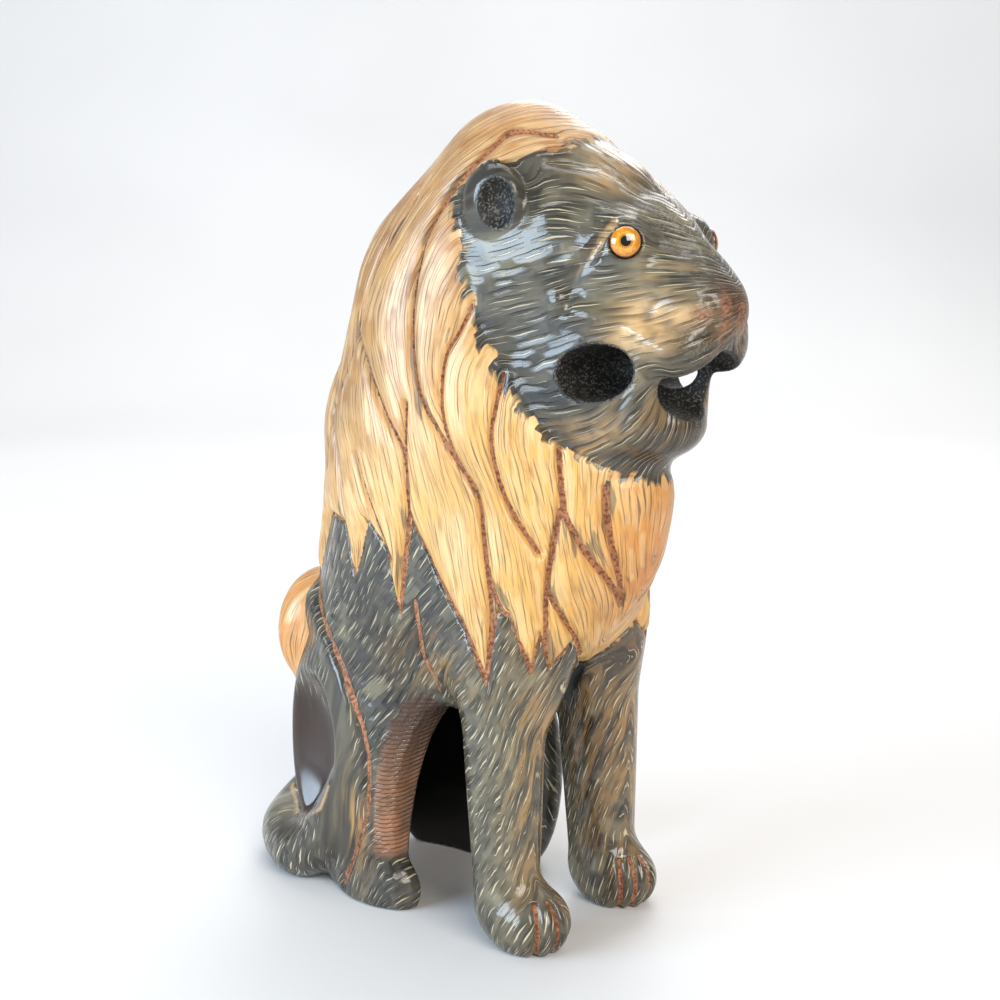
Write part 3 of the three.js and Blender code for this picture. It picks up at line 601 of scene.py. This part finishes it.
def potential(p, edges, weights, way, start):
    """A number at each point whose slope follows way as closely as it can, by conjugate gradients"""
    i, j = edges.T
    n = len(p)
    step_along = ((way[i] + way[j]) / 2 * (p[j] - p[i])).sum(1)
    tie = 1e-6  # keeps the sum solvable
    diagonal = np.bincount(i, weights, n) + np.bincount(j, weights, n) + tie

    def spread(v):
        flux = weights * (v[j] - v[i])
        return np.bincount(j, flux, n) - np.bincount(i, flux, n) + tie * v

    v = start.copy()
    flux = weights * step_along
    r = np.bincount(j, flux, n) - np.bincount(i, flux, n) - spread(v)
    s = r / diagonal
    q, rs = s.copy(), r @ s
    for _ in range(SOLVER_STEPS):
        aq = spread(q)
        a = rs / (q @ aq)
        v += a * q
        r -= a * aq
        s = r / diagonal
        rs, old = r @ s, rs
        q = s + rs / old * q
    return v


def add_attribute(mesh, name, values):
    """One number for each point of the mesh, which materials read by name"""
    attribute = mesh.attributes.new(name, "FLOAT", "POINT")
    attribute.data.foreach_set("value", np.ascontiguousarray(values, np.float32))


def colour_masks(x, y, z, normals):
    """The masks that the horn material reads, by name, and what the strokes need: turn, mane and copper"""
    # The mane and the tail's tuft, with a jagged edge
    turn, inside, furrow, edge = mane_place(x, y, z)
    jag = 0.9 * np.sin(turn * 2.1 + 0.15 * z) + 0.5 * np.sin(turn * 4.7 + 1)
    mane = step(inside + jag, -0.6, 0.6)
    near_tuft = step(1.5 - ball(x, y, z, *TUFT[:3]), -1, 0.5)
    tuft = near_tuft * step(z + jag, 47, 51) * step(y - 62 - 0.3 * (z - 50), 0, 2)
    mane = np.maximum(mane, tuft)
    hair = np.maximum(np.clip(0.5 + (inside + 0.5 * jag) / 6, 0, 1), tuft)

    # Inside of the mouth and the ears, inside of the horn, and the arch's scalloped rim
    arch_at, hollow_at, gap_at, *mouth_at = [np.abs(ball(x, y, z, *m[:3])) for m in HOLLOWS]
    side = np.sqrt(x * x + 1)
    ear_at = [np.abs(ball(side, y, z, *m[:3])) for m in HOLLOWS_MIRRORED]
    pit = 1 - step(np.minimum.reduce(mouth_at + ear_at), 0.35, 0.8)
    hollow = 1 - step(np.minimum(hollow_at, gap_at + 0.8), 1.2, 1.9)
    hollow = np.maximum(hollow, (normals[:, 2] < -0.9) & (z < 0.3))
    hind = y > MANE_AXIS
    rim = np.where(hind, 4.2, 0.8)
    arch = (1 - step(arch_at, rim, rim + 0.8)) * (1 - hollow)
    arch *= np.where(hind, step(z, 12, 16) * (x < 8), 1)

    # Distance to the copper-coloured cuts, measured sideways and not down into them
    copper = np.where((mane > 0.3) & (tuft < 0.1), furrow, FAR)
    raised = relief(x, y, z)
    lines = crease_depth(x, y, z)[1]
    sideways = {colour: np.sqrt(np.maximum(d * d - raised * raised, 0)) for colour, d in lines.items()}
    copper = np.minimum(copper, sideways["copper"])
    copper = np.minimum(copper, 1.2 - toe_depth(x, y, z) + 8 * (z > 14))
    low_edge = (inside < 2) & (np.interp(turn, *zip(*EDGE_LINE)) + 3 > z)
    copper = np.minimum(copper, np.where(low_edge & (turn > 12), edge + 0.25, FAR))

    masks = {name: fields(x, y, z, spots) for name, spots in FIELDS.items()}
    pale_line = np.where(z < 40, 0.55, 0.8) * (1 - step(sideways["pale"], 0.15, 0.6))
    masks["pale"] = np.maximum(masks["pale"], pale_line)
    masks.update({
        "mane": hair, "copper": np.clip(copper, 0, 5), "pit": pit, "hollow": hollow, "arch": arch,
        "face": step(z, 98, 106), "brown": step(z + y, 95, 190),
        "furrow": np.clip(furrow + FAR * tuft, 0, FAR),
    })
    return masks, turn, mane, copper


def paint(mesh):
    """Store the colour masks on the mesh, and two numbers across and along the carver's strokes"""
    p = coords(mesh)
    normals = np.empty(len(p) * 3, np.float32)
    mesh.vertices.foreach_get("normal", normals)
    normals = normals.reshape(-1, 3).astype(float)
    edges = np.empty(len(mesh.edges) * 2, np.int32)
    mesh.edges.foreach_get("vertices", edges)
    edges = edges.reshape(-1, 2)
    x, y, z = p.T
    masks, turn, mane, copper = colour_masks(x, y, z, normals)
    way = stroke_directions(p, normals, mane)
    leg_inner = np.zeros(len(p), bool)
    for leg in FORELEGS:
        beside = np.abs(x - leg["top"][0]) < 12
        leg_inner |= (z < 62) & beside & (np.abs(x) < abs(leg["top"][0])) & (y < 22)
    side_sign = np.where(x < 0, -1.0, 1.0) * np.where(leg_inner, -1.0, 1.0)
    across = np.cross(normals, way) * side_sign[:, None]
    # The strokes need not line up over a furrow or in the hollows.
    block = np.maximum(1 - step(copper, 0.2, 0.6), np.maximum(masks["hollow"], masks["pit"]) > 0.5)
    length = np.linalg.norm(p[edges[:, 0]] - p[edges[:, 1]], axis=1)
    weights = (1 - np.maximum(block[edges[:, 0]], block[edges[:, 1]])) / (length + 0.1) + 1e-4
    add_attribute(mesh, "across", potential(p, edges, weights, across, turn))
    add_attribute(mesh, "along", potential(p, edges, weights, way, -z))
    for name, value in masks.items():
        add_attribute(mesh, name, value)


def srgb(r, g, b, a=1.0):
    """A colour as it looks on screen, made linear"""
    return tuple(v / 12.92 if v <= 0.04045 else ((v + 0.055) / 1.055) ** 2.4 for v in (r, g, b)) + (a,)


class Nodes:
    """Short names for building a material's nodes"""

    def __init__(self, name):
        self.material = bpy.data.materials.new(name)
        self.material.use_nodes = True
        self.tree = self.material.node_tree
        self.shader = self.tree.nodes["Principled BSDF"]

    def node(self, kind, inputs=(), **settings):
        node = self.tree.nodes.new(kind)
        for key, value in settings.items():
            setattr(node, key, value)
        for key, value in dict(inputs).items():
            self.put(node.inputs[key], value)
        return node

    def put(self, socket, value):
        if isinstance(value, bpy.types.NodeSocket):
            self.tree.links.new(value, socket)
        else:
            socket.default_value = value

    def math(self, operation, *values):
        node = self.node("ShaderNodeMath", dict(enumerate(values)), operation=operation)
        return node.outputs[0]

    def times(self, a, b):
        return self.math("MULTIPLY", a, b)

    def plus(self, a, b):
        return self.math("ADD", a, b)

    def minus(self, a, b):
        return self.math("SUBTRACT", a, b)

    def most(self, a, b):
        return self.math("MAXIMUM", a, b)

    def attribute(self, name):
        return self.node("ShaderNodeAttribute", attribute_name=name).outputs["Fac"]

    def range(self, value, low, high, to_low=0.0, to_high=1.0):
        inputs = {"Value": value, "From Min": low, "From Max": high, "To Min": to_low, "To Max": to_high}
        return self.node("ShaderNodeMapRange", inputs, interpolation_type="SMOOTHSTEP").outputs["Result"]

    def mix(self, factor, a, b, blend="MIX"):
        node = self.node("ShaderNodeMix", data_type="RGBA", blend_type=blend)
        for socket, value in ((node.inputs[0], factor), (node.inputs[6], a), (node.inputs[7], b)):
            self.put(socket, value)
        return node.outputs[2]

    def blend(self, factor, a, b):
        return self.plus(a, self.times(factor, self.minus(b, a)))

    def vector(self, x, y, z=0.0):
        return self.node("ShaderNodeCombineXYZ", {0: x, 1: y, 2: z}).outputs[0]

    def noise(self, vector, scale, detail=2.0, roughness=0.5):
        inputs = {"Vector": vector, "Scale": scale, "Detail": detail, "Roughness": roughness}
        return self.node("ShaderNodeTexNoise", inputs).outputs["Fac"]

    def streaks(self, across, along, wide, long, detail, roughness=0.5):
        """Noise drawn out along the strokes"""
        place = self.vector(self.times(across, wide), self.times(along, long))
        return self.noise(place, 1.0, detail, roughness)

    def random(self, vector):
        node = self.node("ShaderNodeTexWhiteNoise", {"Vector": vector}, noise_dimensions="3D")
        return node.outputs["Value"]

    def vector_math(self, operation, *values):
        return self.node("ShaderNodeVectorMath", dict(enumerate(values)), operation=operation)

    def object_place(self):
        return self.node("ShaderNodeTexCoord").outputs["Object"]


class Strokes:
    """Rows of strokes, staggered along their length. tone and size are random numbers of each stroke."""

    def __init__(self, n, across, along, pitch, length, seed):
        self.n = n
        slow = n.vector(n.times(across, 0.1), n.times(along, 0.1), seed)
        row_at = n.plus(n.math("DIVIDE", across, pitch), n.times(n.noise(slow, 1.0, 1.0), 0.4))
        row = n.math("FLOOR", row_at)
        cell_at = n.plus(n.math("DIVIDE", along, length), n.times(n.random(n.vector(row, seed)), 7.0))
        cell = n.math("FLOOR", cell_at)
        self.side = n.math("FRACT", row_at)
        self.tone = n.random(n.vector(row, cell, seed))
        self.size = n.random(n.vector(row, cell, seed + 5))
        t = n.math("ABSOLUTE", n.minus(n.times(n.math("FRACT", cell_at), 2.0), 1.0))
        reach = n.plus(0.6, n.times(self.size, 0.4))
        self.taper = n.most(n.minus(1.0, n.math("POWER", n.math("DIVIDE", t, reach), 2.0)), 0.0)

    def cut(self, width, share):
        """1 in a thin tapered cut, 0 beside it"""
        n = self.n
        middle = n.plus(0.4, n.times(self.size, 0.2))
        off = n.math("ABSOLUTE", n.minus(self.side, middle))
        half = n.times(n.times(self.taper, width), n.plus(0.6, self.tone))
        shape = n.range(n.minus(half, off), 0.0, 0.05)
        return n.times(shape, n.math("LESS_THAN", self.tone, share))

    def scoop(self):
        """A shallow hollow across each row, deepest on one side"""
        n = self.n
        return n.times(n.range(self.side, 0.0, 0.9), n.range(self.side, 0.9, 1.0, 1.0, 0.0))


# Colours of the horn
HORN = {
    # The mane
    "cream_low": srgb(0.87, 0.68, 0.38),
    "cream_high": srgb(0.89, 0.70, 0.44),
    "mane_brown": srgb(0.56, 0.38, 0.23),
    "breast": srgb(0.81, 0.51, 0.24),
    "mane_tan": srgb(0.80, 0.60, 0.38),
    "mane_streak": srgb(0.56, 0.39, 0.24),
    "hair_light": srgb(0.95, 0.83, 0.62),
    # grey for the painted shade beside the mane's furrows, and for grey blotches
    "grey_and_furrow_shade": srgb(0.32, 0.30, 0.24),
    "hair_gap": srgb(0.25, 0.14, 0.07),
    # The coat
    "coat_black": srgb(0.11, 0.105, 0.095),
    "coat_grey": srgb(0.23, 0.22, 0.20),
    "coat_grain": srgb(0.34, 0.32, 0.27),
    "olive_dark": srgb(0.31, 0.295, 0.25),
    "olive_light": srgb(0.50, 0.46, 0.36),
    "gold_dark": srgb(0.36, 0.27, 0.17),
    "gold_light": srgb(0.74, 0.56, 0.32),
    "umber": srgb(0.22, 0.14, 0.10),
    "pale": srgb(0.85, 0.69, 0.48),
    # The coat's strokes
    "stroke_light": srgb(0.52, 0.50, 0.43),
    # painted shade in the hollow of each stroke
    "scoop_shade": srgb(0.06, 0.055, 0.05),
    "blot": srgb(0.62, 0.58, 0.46),
    "cut": srgb(0.80, 0.74, 0.61),
    "fleck": srgb(0.66, 0.62, 0.54),
    # The arch's rim
    "scallop_dark": srgb(0.50, 0.36, 0.26),
    "scallop_light": srgb(0.66, 0.46, 0.34),
    # painted shade towards the top of the arch
    "arch_top_shade": srgb(0.30, 0.22, 0.17),
    "scallop_gap": srgb(0.3, 0.2, 0.14),
    # Hollows and pits
    "hollow": srgb(0.045, 0.04, 0.037),
    "pit": srgb(0.05, 0.045, 0.04),
    "pit_speck": srgb(0.52, 0.50, 0.46),
    # Copper-coloured furrows
    "copper_dark": srgb(0.44, 0.25, 0.15),
    "copper_light": srgb(0.68, 0.46, 0.31),
}


def horn_material():
    """Cream mane on dark horn. The strokes follow the mesh's own across and along, in millimetres."""
    n = Nodes("carved_horn")
    place = n.object_place()
    across, along = n.attribute("across"), n.attribute("along")
    copper_at, pit, face, painted_shade = (n.attribute(name) for name in ("copper", "pit", "face", "painted_shade"))
    hollow, arch, sleek = (n.attribute(name) for name in ("hollow", "arch", "sleek"))
    ochre, umber, furrow = (n.attribute(name) for name in ("ochre", "umber", "furrow"))
    broad = n.noise(place, 38.0, 2.0)
    patch = n.noise(place, 90.0, 3.0)
    fine = n.noise(place, 1300.0, 2.0, 0.6)

    # Hairs of the mane: rounded ridges side by side, with brown between them
    wander = n.streaks(across, along, 0.3, 0.06, 1.0)
    locks = n.plus(across, n.times(wander, 2.2))
    hairs = Strokes(n, locks, along, 1.25, 15.0, 3.0)
    hairs_short = Strokes(n, locks, along, 0.9, 8.0, 4.0)
    hair_line = n.most(hairs.cut(0.11, 0.8), n.times(hairs_short.cut(0.08, 0.4), 0.7))
    hair_shade = n.times(hairs.tone, n.range(hairs.taper, 0.0, 0.6))
    ends = n.times(n.minus(hairs.tone, 0.5), n.blend(face, 0.05, 0.6))
    mane = n.range(n.plus(n.attribute("mane"), ends), 0.4, 0.6)
    streak = n.streaks(across, along, 1.1, 0.12, 3.0, 0.6)

    # Ground colour of the mane: cream, browner towards the crown and the back, with painted shade in grey
    # beside the furrows, and the horn's own grey in blotches
    upward = n.attribute("brown")
    buff = n.mix(n.range(upward, 0.05, 0.45), HORN["cream_low"], HORN["cream_high"])
    brown = n.times(n.range(upward, 0.35, 0.95), n.range(patch, 0.3, 0.6, 0.45, 0.9))
    buff = n.mix(brown, buff, HORN["mane_brown"])
    buff = n.mix(n.attribute("amber"), buff, HORN["breast"])
    buff = n.mix(n.range(broad, 0.35, 0.65, 0.0, 0.35), buff, HORN["mane_tan"])
    buff = n.mix(n.range(streak, 0.42, 0.7, 0.0, 0.55), buff, HORN["mane_streak"])
    buff = n.mix(n.times(hair_shade, 0.35), buff, HORN["hair_light"])
    blotch = n.streaks(across, along, 0.3, 0.06, 3.0, 0.6)
    # Grey beside each furrow is painted shade; the grey blotches along the streaks are the horn's own.
    by_furrow = n.plus(furrow, n.times(n.minus(blotch, 0.42), 14.0))
    furrow_shade_and_blotch = n.most(n.range(by_furrow, 0.5, 1.4, 0.9, 0.0),
                  n.times(n.range(blotch, 0.66, 0.72), n.range(streak, 0.3, 0.5)))
    buff = n.mix(n.times(furrow_shade_and_blotch, 0.7), buff, HORN["grey_and_furrow_shade"])
    hair_deep = n.times(hair_line, n.range(streak, 0.3, 0.6, 0.4, 0.85))
    buff = n.mix(hair_deep, buff, n.mix(0.7, buff, HORN["hair_gap"]))

    # Coat: dark horn, each stroke with a tone of its own and a paler cut
    rows = Strokes(n, across, along, 1.7, 6.5, 1.0)
    lines = Strokes(n, across, along, 1.3, 4.2, 2.0)
    brush = Strokes(n, across, along, 2.9, 9.0, 6.0)
    gouges = Strokes(n, across, along, 1.3, 12.0, 7.0)
    whiskers = Strokes(n, across, along, 0.9, 8.0, 8.0)
    grain = n.streaks(across, along, 0.5, 0.05, 3.0)
    coat = n.mix(n.range(broad, 0.35, 0.65), HORN["coat_black"], HORN["coat_grey"])
    coat = n.mix(n.range(grain, 0.5, 0.7, 0.0, 0.6), coat, HORN["coat_grain"])
    olive = n.mix(n.range(grain, 0.35, 0.65), HORN["olive_dark"], HORN["olive_light"])
    # Where painted shade lies, less olive, weaker stroke tones and fainter pale cuts make the coat darker.
    coat = n.mix(n.times(n.attribute("olive"), n.blend(painted_shade, 1.0, 0.3)), coat, olive)
    gold = n.mix(n.range(grain, 0.4, 0.6), HORN["gold_dark"], HORN["gold_light"])
    coat = n.mix(n.times(ochre, n.range(grain, 0.3, 0.6)), coat, gold)
    coat = n.mix(n.times(umber, 0.85), coat, HORN["umber"])
    coat = n.mix(n.times(n.attribute("pale"), n.range(patch, 0.3, 0.5)), coat, HORN["pale"])
    covered = n.most(n.most(mane, sleek), n.most(hollow, pit))
    bare = n.range(n.minus(1.0, covered), 0.1, 0.5)
    scoop_body = n.times(rows.scoop(), rows.taper)
    scoop_face = n.times(gouges.scoop(), gouges.taper)
    scoop = n.times(n.blend(face, scoop_body, scoop_face), bare)
    tone = n.times(n.blend(face, rows.tone, gouges.tone), n.blend(painted_shade, 1.0, 0.4))
    coat = n.mix(n.times(n.times(tone, bare), 0.25), coat, HORN["stroke_light"])
    # Each stroke's hollow is painted darker towards one side: painted shade.
    coat = n.mix(n.times(scoop, n.blend(face, 0.45, 0.65)), coat, HORN["scoop_shade"])
    blot = n.times(n.range(brush.tone, 0.6, 1.0), n.range(brush.taper, 0.2, 0.8))
    blot = n.times(n.times(blot, bare), n.range(patch, 0.4, 0.6, 0.2, 0.9))
    coat = n.mix(n.times(blot, 0.4), coat, HORN["blot"])
    cuts = n.most(rows.cut(0.085, 0.92), lines.cut(0.075, 0.6))
    cuts = n.blend(face, cuts, n.most(gouges.cut(0.085, 0.85), whiskers.cut(0.08, 0.5)))
    cuts = n.times(n.times(cuts, bare), n.blend(painted_shade, 1.0, 0.55))
    coat = n.mix(n.times(cuts, n.blend(face, 0.9, 0.75)), coat, HORN["cut"])
    flecks = n.times(n.attribute("speckled"), n.range(n.noise(place, 1700.0, 1.0), 0.5, 0.6))
    coat = n.mix(n.times(flecks, 0.45), coat, HORN["fleck"])

    # All together, with the arch's hatched rim, the hollows and the copper-coloured furrows
    colour = n.mix(mane, coat, buff)
    height_z = n.node("ShaderNodeSeparateXYZ", {0: place}).outputs[2]
    hatch_at = n.math("FRACT", n.math("DIVIDE", height_z, 0.0011))
    off_middle = n.math("ABSOLUTE", n.minus(hatch_at, 0.5))
    hatch = n.times(n.range(off_middle, 0.25, 0.5), arch)
    scallops = n.mix(n.range(patch, 0.4, 0.6), HORN["scallop_dark"], HORN["scallop_light"])
    # The rim is painted darker from 30 to 50 mm up: painted shade under the top of the arch.
    scallops = n.mix(n.range(height_z, 0.03, 0.05), scallops, HORN["arch_top_shade"])
    colour = n.mix(arch, colour, n.mix(n.times(hatch, 0.8), scallops, HORN["scallop_gap"]))
    colour = n.mix(hollow, colour, HORN["hollow"])
    speck = n.range(n.noise(place, 1900.0, 1.0), 0.53, 0.64)
    colour = n.mix(pit, colour, n.mix(n.times(speck, 0.45), HORN["pit"], HORN["pit_speck"]))
    ragged = n.plus(copper_at, n.times(n.minus(fine, 0.5), 0.35))
    copper = n.range(ragged, 0.42, 0.54, 1.0, 0.0)
    worn = n.times(n.attribute("rust"), n.range(streak, 0.35, 0.55))
    copper = n.times(n.most(copper, worn), n.minus(1.0, hollow))
    rust = n.mix(n.range(fine, 0.36, 0.6), HORN["copper_dark"], HORN["copper_light"])
    colour = n.mix(copper, colour, rust)

    # Polish and relief
    n.put(n.shader.inputs["Base Color"], colour)
    rough = n.range(patch, 0.3, 0.7, 0.14, 0.24)
    rough = n.plus(rough, n.times(n.most(copper, pit), 0.4))
    rough = n.plus(rough, n.times(mane, 0.14))
    n.put(n.shader.inputs["Roughness"], rough)
    n.put(n.shader.inputs["Specular IOR Level"], 0.55)
    ridge = n.minus(hair_line, n.times(hairs.scoop(), 0.5))
    ridge = n.times(ridge, n.times(mane, n.minus(1.0, copper)))
    height = n.plus(n.times(ridge, -0.9), n.times(cuts, -0.5))
    height = n.plus(height, n.times(scoop, -1.0))
    height = n.plus(height, n.times(hatch, -0.6))
    grit = n.times(fine, n.most(copper, pit))
    height = n.plus(height, n.times(grit, 1.2))
    bump = n.node("ShaderNodeBump", {"Height": height, "Distance": 0.0002, "Strength": 1.0})
    n.put(n.shader.inputs["Normal"], bump.outputs["Normal"])
    return n.material


def eye_material(centre, out):
    """Amber glass with a dark pupil and rim, by the distance in millimetres from the eye's axis"""
    n = Nodes("amber_glass")
    place = n.object_place()
    from_centre = n.vector_math("SUBTRACT", place, tuple(centre)).outputs[0]
    product = n.vector_math("CROSS_PRODUCT", from_centre, tuple(out)).outputs[0]
    radius = n.vector_math("LENGTH", product).outputs["Value"]
    radius = n.times(radius, MM)
    mottle = n.noise(place, 1200.0, 2.0)
    amber = n.mix(n.range(radius, 1.1, 2.5), srgb(0.88, 0.62, 0.15), srgb(0.76, 0.46, 0.07))
    amber = n.mix(n.range(mottle, 0.4, 0.7, 0.0, 0.4), amber, srgb(0.97, 0.74, 0.30))
    colour = n.mix(n.range(radius, 2.8, 3.05), amber, srgb(0.36, 0.18, 0.05))
    ring = n.times(n.range(radius, 1.0, 1.2), n.range(radius, 1.3, 1.6, 1.0, 0.0))
    colour = n.mix(n.times(ring, 0.6), colour, srgb(0.45, 0.24, 0.06))
    colour = n.mix(n.range(radius, 1.0, 1.15, 1.0, 0.0), colour, srgb(0.02, 0.018, 0.016))
    n.put(n.shader.inputs["Base Color"], colour)
    n.put(n.shader.inputs["Roughness"], 0.06)
    n.put(n.shader.inputs["Coat Weight"], 1.0)
    n.put(n.shader.inputs["Coat Roughness"], 0.02)
    return n.material


def eye_object(name, side):
    """A domed button of glass, turned to look outward"""
    centre = Vector((side * EYE["centre"][0], EYE["centre"][1], EYE["centre"][2]))
    out = Vector((side * EYE["out"][0], EYE["out"][1], EYE["out"][2])).normalized()
    turn = Vector((0, 0, 1)).rotation_difference(out).to_matrix()
    rings, sides = 14, 48
    back = -EYE["back"]
    outline = [(0.0, back), (EYE["radius"] - EYE["bevel"], back), (EYE["radius"], back + EYE["bevel"])]
    for i in range(rings + 1):
        a = i / rings * math.pi / 2
        outline.append((EYE["radius"] * math.cos(a), EYE["dome"] * math.sin(a)))
    points, faces = [], []
    for r, h in outline[1:-1]:
        for k in range(sides):
            a = 2 * math.pi * k / sides
            points.append((r * math.cos(a), r * math.sin(a), h))
    count = len(outline) - 2
    points += [(0, 0, back), (0, 0, EYE["dome"])]
    for i in range(count - 1):
        for k in range(sides):
            a, b = i * sides + k, i * sides + (k + 1) % sides
            faces += [(a, b, b + sides), (a, b + sides, a + sides)]
    last = (count - 1) * sides
    for k in range(sides):
        faces.append((count * sides, (k + 1) % sides, k))
        faces.append((count * sides + 1, last + k, last + (k + 1) % sides))
    shift = Vector(FRAME_SHIFT)
    placed = [(turn @ Vector(p) + centre - shift) / MM for p in points]
    obj = mesh_object(name, placed, faces)
    obj.data.materials.append(eye_material((centre - shift) / MM, out))
    return obj


def build_lion():
    """The carved lion, painted in its own frame, then placed in the shared one"""
    points, quads = trace(carved, *BOUNDS, GRID)
    lion = mesh_object("carved_lion", points, quads)
    modifier = lion.modifiers.new("thin", "DECIMATE")
    modifier.ratio = min(1.0, BODY_FACES / (2 * len(quads)))
    apply_modifiers(lion)
    paint(lion.data)
    low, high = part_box("lion_body")
    p = coords(lion.data)
    placed = np.clip((p - np.array(FRAME_SHIFT)) / MM, np.array(low), np.array(high))
    lion.data.vertices.foreach_set("co", placed.astype(np.float32).ravel())
    lion.data.update()
    lion.data.shade_smooth()
    lion.data.materials.clear()
    lion.data.materials.append(horn_material())
    return lion


lion = build_lion()
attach(lion, "root")
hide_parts("lion_body")
for name, node, side in (("glass_eye_right", "right_eye", -1), ("glass_eye_left", "left_eye", 1)):
    eye = eye_object(name, side)
    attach(eye, "root")
    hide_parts(node)


def floor_material():
    n = Nodes("pale_floor")
    tint = n.range(n.noise(n.object_place(), 3.0, 2.0), 0.3, 0.7)
    n.put(n.shader.inputs["Base Color"], n.mix(tint, srgb(0.86, 0.855, 0.85), srgb(0.88, 0.875, 0.87)))
    n.put(n.shader.inputs["Roughness"], 0.6)
    return n.material


# The camera stands where the photographer did: 51 degrees round to the lion's right, a little above it.
# "aside" and "away" are millimetres from the point it aims at.
CAMERA = {
    "turn": 51, "fall": 250 / 1500, "lens": 54,
    "aim": (-22, -4, 0), "aside": 6.6, "away": 307, "height": 153.7,
}
turn, dip = math.radians(CAMERA["turn"]), math.atan(CAMERA["fall"])
right = Vector((math.cos(turn), -math.sin(turn), 0))
ahead = Vector((math.sin(turn), math.cos(turn), 0))

# A sweep: the floor runs back and curves up behind the lion. In metres.
SWEEP = {"near": -2.5, "flat": 0.9, "bend": 0.5, "top": 2.6, "half_width": 3, "below": 0.0002}
bend = SWEEP["bend"]
arc = np.linspace(0, math.pi / 2, 25)
sweep = [(SWEEP["near"], 0)]
sweep += [(SWEEP["flat"] + bend * math.sin(a), bend - bend * math.cos(a)) for a in arc]
sweep.append((SWEEP["flat"] + bend, SWEEP["top"]))
ends = (-SWEEP["half_width"], SWEEP["half_width"])
points = [ahead * far + right * across + Vector((0, 0, up)) for far, up in sweep for across in ends]
faces = [(2 * i, 2 * i + 1, 2 * i + 3, 2 * i + 2) for i in range(len(sweep) - 1)]
floor = mesh_object("sweep", points, faces)
floor.location.z = CAD_BOX[0][2] - SWEEP["below"]
floor.data.materials.append(floor_material())


def area_light(name, place, target, size, power, colour):
    """A rectangular light that faces its target, with its size in metres and its power in watts"""
    data = bpy.data.lights.new(name, "AREA")
    data.shape = "RECTANGLE"
    data.size, data.size_y = size
    data.energy = power
    data.color = colour
    obj = bpy.data.objects.new(name, data)
    obj.location = place
    obj.rotation_euler = (Vector(target) - Vector(place)).to_track_quat("-Z", "Y").to_euler()
    bpy.context.scene.collection.objects.link(obj)


TARGET = (0, 0, 0.1)
area_light("window", (-0.85, 0.43, 0.34), TARGET, (0.8, 0.42), 13.0, (0.64, 0.81, 1.0))
area_light("room", (-0.5, -1.0, 0.75), TARGET, (0.8, 0.6), 13.0, (1.0, 0.95, 0.88))
area_light("back", (0.8, 0.4, 0.8), TARGET, (0.6, 0.6), 4.0, (1.0, 1.0, 1.0))
area_light("backdrop", (0.35, 0.3, 1.5), ahead * 1.4 + Vector((0, 0, 0.5)), (1.6, 1.0), 13.0, (1.0, 1.0, 1.0))

world = bpy.data.worlds.new("studio")
world.use_nodes = True
world.node_tree.nodes["Background"].inputs[0].default_value = (0.95, 0.97, 1.0, 1.0)
world.node_tree.nodes["Background"].inputs[1].default_value = 0.35
bpy.context.scene.world = world
bpy.context.scene.view_settings.view_transform = "Standard"

# The camera
look = ahead * math.cos(dip) - Vector((0, 0, 1)) * math.sin(dip)
above = ahead * math.sin(dip) + Vector((0, 0, 1)) * math.cos(dip)
stand = Vector(CAMERA["aim"]) - CAMERA["aside"] * right - CAMERA["away"] * ahead - Vector(FRAME_SHIFT)
stand.z = CAMERA["height"]
camera_data = bpy.data.cameras.new("camera")
camera_data.sensor_width = 36
camera_data.lens = CAMERA["lens"]
camera_data.clip_start = 0.01
camera = bpy.data.objects.new("camera", camera_data)
rotation = Matrix((right, above, -look)).transposed()
camera.matrix_world = Matrix.Translation(stand / MM) @ rotation.to_4x4()
bpy.context.scene.collection.objects.link(camera)
bpy.context.scene.camera = camera
